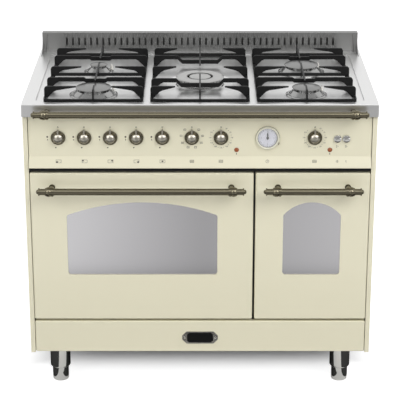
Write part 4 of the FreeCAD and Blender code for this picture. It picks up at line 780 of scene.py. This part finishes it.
# %% [markdown]
# ## Light that only some rays meet
#
# A studio hides its cards and white walls outside the picture. Here each ray can be told apart by the
# Light Path node: sent by the camera, mirrored by metal or glass, or scattered by a soft surface. So
# a surface can glow for one kind of ray only, and it needs no hiding place.

# %% Helpers for light that only some rays meet
def ray_is(tree, *kinds):
    """A factor of 1 for rays of the kinds named, and 0 for all others."""
    path = tree.nodes.new("ShaderNodeLightPath")
    factor = path.outputs[kinds[0]]
    for kind in kinds[1:]:
        factor = combined(tree, "MAXIMUM", factor, path.outputs[kind])
    return factor


def combined(tree, operation, first, second):
    """Two values put together by a Math node."""
    node = tree.nodes.new("ShaderNodeMath")
    node.operation = operation
    tree.links.new(first, node.inputs[0])
    tree.links.new(second, node.inputs[1])
    return node.outputs[0]


def ramp(tree, source, from_low, from_high, to_low, to_high, smooth=True):
    """Turn a value in one range into a value in another, softly at both ends unless told otherwise."""
    span = tree.nodes.new("ShaderNodeMapRange")
    span.interpolation_type = "SMOOTHSTEP" if smooth else "LINEAR"
    ends = {"From Min": from_low, "From Max": from_high, "To Min": to_low, "To Max": to_high}
    for socket, value in ends.items():
        span.inputs[socket].default_value = value
    tree.links.new(source, span.inputs["Value"])
    return span.outputs["Result"]


def coordinates(tree):
    """The object's own coordinates, whole and as X, Y and Z."""
    place = tree.nodes.new("ShaderNodeTexCoord")
    parts = tree.nodes.new("ShaderNodeSeparateXYZ")
    tree.links.new(place.outputs["Object"], parts.inputs[0])
    return place.outputs["Object"], parts.outputs


def glowing(name):
    """A material that only glows, with its node tree and the Emission node in it."""
    material = bpy.data.materials.new(name)
    material.use_nodes = True
    tree = material.node_tree
    tree.nodes.remove(tree.nodes["Principled BSDF"])
    shine = tree.nodes.new("ShaderNodeEmission")
    tree.links.new(shine.outputs[0], tree.nodes["Material Output"].inputs["Surface"])
    return material, tree, shine


print("light helpers ready")

# %% [markdown]
# ## The floor
#
# The floor is a matt, pale plane, and that alone is what the lamps and the cooker meet. A glow is
# added to what the camera sees of it: little under the cooker, so the soft shadow stays, and enough
# all round to make the picture's background white. Another glow, seen only in metal and glass, starts
# a metre away. A shadow catcher could do it too, but its picture has to be laid over white afterwards.

# %% The floor
FLOOR_SIZE = 40
# Where these ramps climb from the low glow to the open one, they set how the shadow fades: that edge is
# painted by the glow over the shadow the lamps cast.
UNDER_GLOW = 0.05
OPEN_GLOW = 0.80
SIDE_EDGE = (0.36, 0.60)
FRONT_EDGE = (0.00, -0.15)
BACK_EDGE = (0.24, 0.42)
MIRROR_EDGE = (0.9, 2.2)
bpy.ops.mesh.primitive_plane_add(size=FLOOR_SIZE, location=(0, 0, 0))
floor = bpy.context.object
floor.name = "studio_floor"
pale, tree, white = glowing("pale_floor")
matt = tree.nodes.new("ShaderNodeBsdfDiffuse")
matt.inputs["Color"].default_value = (0.90, 0.90, 0.90, 1)
point, axes = coordinates(tree)
aside = tree.nodes.new("ShaderNodeMath")
aside.operation = "ABSOLUTE"
tree.links.new(axes["X"], aside.inputs[0])
away = tree.nodes.new("ShaderNodeVectorMath")
away.operation = "LENGTH"
tree.links.new(point, away.inputs[0])
glow = ramp(tree, aside.outputs[0], *SIDE_EDGE, UNDER_GLOW, OPEN_GLOW)
for edge in (FRONT_EDGE, BACK_EDGE):
    glow = combined(tree, "MAXIMUM", glow, ramp(tree, axes["Y"], *edge, UNDER_GLOW, OPEN_GLOW))
mirrored = ramp(tree, away.outputs["Value"], *MIRROR_EDGE, 0.0, 1.0)
direct = combined(tree, "MULTIPLY", glow, ray_is(tree, "Is Camera Ray"))
by_metal = combined(tree, "MULTIPLY", mirrored, ray_is(tree, "Is Glossy Ray", "Is Transmission Ray"))
tree.links.new(combined(tree, "ADD", direct, by_metal), white.inputs["Strength"])
both = tree.nodes.new("ShaderNodeAddShader")
tree.links.new(matt.outputs[0], both.inputs[0])
tree.links.new(white.outputs[0], both.inputs[1])
tree.links.new(both.outputs[0], tree.nodes["Material Output"].inputs["Surface"])
floor.data.materials.append(pale)
print("floor")

# %% [markdown]
# ## The world
#
# The room round the cooker is plain white to the camera, metal and glass. As a light it is dimmer:
# at full strength it would reach under the cooker from all sides and wash the lamps' shadows out. A
# picture of a studio could serve, but plain white shows each colour as it is written.

# %% The world
WORLD_LIGHT = 0.42
world = bpy.data.worlds.new("studio")
bpy.context.scene.world = world
world.use_nodes = True
tree = world.node_tree
soft = tree.nodes["Background"]
soft.inputs["Color"].default_value = (1, 1, 1, 1)
soft.inputs["Strength"].default_value = WORLD_LIGHT
seen = tree.nodes.new("ShaderNodeBackground")
seen.inputs["Color"].default_value = (1, 1, 1, 1)
mix = tree.nodes.new("ShaderNodeMixShader")
tree.links.new(ray_is(tree, "Is Camera Ray", "Is Glossy Ray", "Is Transmission Ray"), mix.inputs["Fac"])
tree.links.new(soft.outputs[0], mix.inputs[1])
tree.links.new(seen.outputs[0], mix.inputs[2])
tree.links.new(mix.outputs[0], tree.nodes["World Output"].inputs["Surface"])
print("world")

# %% [markdown]
# ## Two soft lamps
#
# Two broad lamps stand in front, above on both sides, the stronger one at the right. Small lamps
# would do for brightness, but broad ones give the soft edges that a studio picture's shadows have.

# %% Two lamps
LAMP_SIZE = 2.2


def lamp(name, place, aim, power):
    """A square soft lamp that points at a place."""
    light = bpy.data.lights.new(name, "AREA")
    light.shape = "RECTANGLE"
    light.size = light.size_y = LAMP_SIZE
    light.energy = power
    holder = bpy.data.objects.new(name, light)
    bpy.context.scene.collection.objects.link(holder)
    holder.location = place
    holder.rotation_euler = (Vector(aim) - Vector(place)).to_track_quat("-Z", "Y").to_euler()


lamp("key_light", (2.2, -2.8, 3.2), (0, 0, 0.6), 76)
lamp("fill_light", (-2.4, -2.6, 2.4), (0, 0, 0.5), 36)
print("two lamps")

# %% [markdown]
# ## Dark cards at the sides
#
# Metal shows whatever stands round it, so in an all-white room it looks like paper. Cards that only
# metal and glass mirror mend that. A dark one on each side puts dark edges into chrome and bronze.
# Darker metal would be simpler, but then it would lose its bright strips too.

# %% Dark cards at the sides
SIDE_CARD_X = 2.6


def reflected_only(card, name):
    """A card that metal and glass mirror, and that neither the camera nor the soft light meets."""
    card.name = name
    card.visible_camera = False
    card.visible_diffuse = False
    card.visible_shadow = False
    card.visible_transmission = False


card_paint = finish("dark_card", (0.02, 0.02, 0.02), 0.9)
for name, x in (("card_left", -SIDE_CARD_X), ("card_right", SIDE_CARD_X)):
    bpy.ops.mesh.primitive_plane_add(size=1, location=(x, -0.9, 1.0), rotation=(0, math.pi / 2, 0))
    bpy.context.object.scale = (2.4, 1.6, 1)
    bpy.context.object.data.materials.append(card_paint)
    reflected_only(bpy.context.object, name)
print("dark side cards")

# %% [markdown]
# ## Cards on the floor
#
# The door windows are upright mirrors, so a camera that looks down sees the floor before the cooker in
# them. A glowing carpet there, brighter at both sides than in the middle, gives them their slopes of
# grey. Dark cards under the cooker and beside it put dark bands into feet, rail and handles. A grey
# painted on the glass would suit one view only; a card is mirrored rightly when the view or a door
# moves.

# %% The carpet and the dark floor cards
# Each of the four: where it begins and ends, and its factor at both.
CARPET_LEFT = (-0.48, 0.02, 1.0, 0.57)
CARPET_RIGHT = (0.02, 0.52, 1.0, 1.42)
CARPET_NEAR = (-0.95, -1.25, 0.10, 0.90)
CARPET_FAR = (-1.75, -2.60, 1.0, 0.56)
carpet, tree, shine = glowing("grey_carpet")
axes = coordinates(tree)[1]
left = ramp(tree, axes["X"], *CARPET_LEFT, smooth=False)
right = ramp(tree, axes["X"], *CARPET_RIGHT, smooth=False)
near = ramp(tree, axes["Y"], *CARPET_NEAR)
far = ramp(tree, axes["Y"], *CARPET_FAR)
across = combined(tree, "MULTIPLY", left, right)
along = combined(tree, "MULTIPLY", near, far)
tree.links.new(combined(tree, "MULTIPLY", across, along), shine.inputs["Strength"])


def four_corners(name, corners, material):
    """A reflected card through four corners."""
    mesh = bpy.data.meshes.new(name)
    mesh.from_pydata(corners, [], [(0, 1, 2, 3)])
    mesh.materials.append(material)
    card = bpy.data.objects.new(name, mesh)
    bpy.context.scene.collection.objects.link(card)
    reflected_only(card, name)


ABOVE_FLOOR = 4 * MM
FLOOR_CARDS = (("card_floor", (-2.5, 2.5), (-5.9, -0.56), carpet),
               ("card_under", (-0.385, 0.385), (-0.26, 0.40), card_paint),
               ("card_floor_left", (-1.6, -0.455), (-0.5, 0.6), card_paint),
               ("card_floor_right", (0.455, 1.6), (-0.5, 0.6), card_paint))
for name, (x0, x1), (y0, y1), material in FLOOR_CARDS:
    z = ABOVE_FLOOR
    four_corners(name, [(x0, y0, z), (x1, y0, z), (x1, y1, z), (x0, y1, z)], material)
print(len(FLOOR_CARDS), "floor cards")

# %% [markdown]
# ## Three glowing cards
#
# Glowing cards stand in front, high in front and overhead. They give the bars their strip of light
# and the hob its even sheen. More lamps could do that, but they would add shadows of their own, while
# these cards light no soft surface.

# %% Three glowing cards
# The first and the last: where it begins and ends, and its glow at both.
FRONT_GLOW = (0.8, 5.0, 0.30, 0.75)
STRIP_GLOW = 2.1
CEILING_GLOW = (-1.6, 0.6, 0.45, 0.60)
front, tree, shine = glowing("card_front")
upward = ramp(tree, coordinates(tree)[1]["Z"], *FRONT_GLOW, smooth=False)
tree.links.new(upward, shine.inputs["Strength"])
four_corners("card_front", [(-9, -6, 0), (9, -6, 0), (9, -6, 5), (-9, -6, 5)], front)

strip, tree, shine = glowing("card_strip")
shine.inputs["Strength"].default_value = STRIP_GLOW
corners = [(-2.2, -2.6, 2.9), (2.2, -2.6, 2.9), (2.2, -1.6, 3.5), (-2.2, -1.6, 3.5)]
four_corners("card_strip", corners, strip)

ceiling, tree, shine = glowing("card_ceiling")
backward = ramp(tree, coordinates(tree)[1]["Y"], *CEILING_GLOW, smooth=False)
tree.links.new(backward, shine.inputs["Strength"])
corners = [(-2.5, -1.6, 3.6), (2.5, -1.6, 3.6), (2.5, 0.6, 3.6), (-2.5, 0.6, 3.6)]
four_corners("card_ceiling", corners, ceiling)
print("three glowing cards")

# %% [markdown]
# ## The camera
#
# The picture was taken from a little above, a long way off, with a long lens. Place, tilt and lens
# were fitted to the corners of the hob, doors and feet. A small lens shift centres the cooker; more
# tilt would do it too, but would change its perspective.

# %% The camera
hob_low, hob_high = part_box("hob_top")
camera_data = bpy.data.cameras.new("camera")
camera_data.sensor_width = 36
camera_data.lens = 140.1
camera_data.shift_y = -0.06
CAMERA_BACK = 4.152
CAMERA_RISE = 1.251
CAMERA_TILT = math.radians(19.4)
camera = bpy.data.objects.new("camera", camera_data)
bpy.context.scene.collection.objects.link(camera)
camera.location = (0, hob_low.y - CAMERA_BACK, hob_high.z + CAMERA_RISE)
camera.rotation_euler = (math.pi / 2 - CAMERA_TILT, 0, 0)
bpy.context.scene.camera = camera
bpy.context.scene.view_settings.view_transform = "Standard"
print("camera", [round(v, 3) for v in camera.location])

# %% [markdown]
# ## The end
#


print("the end")
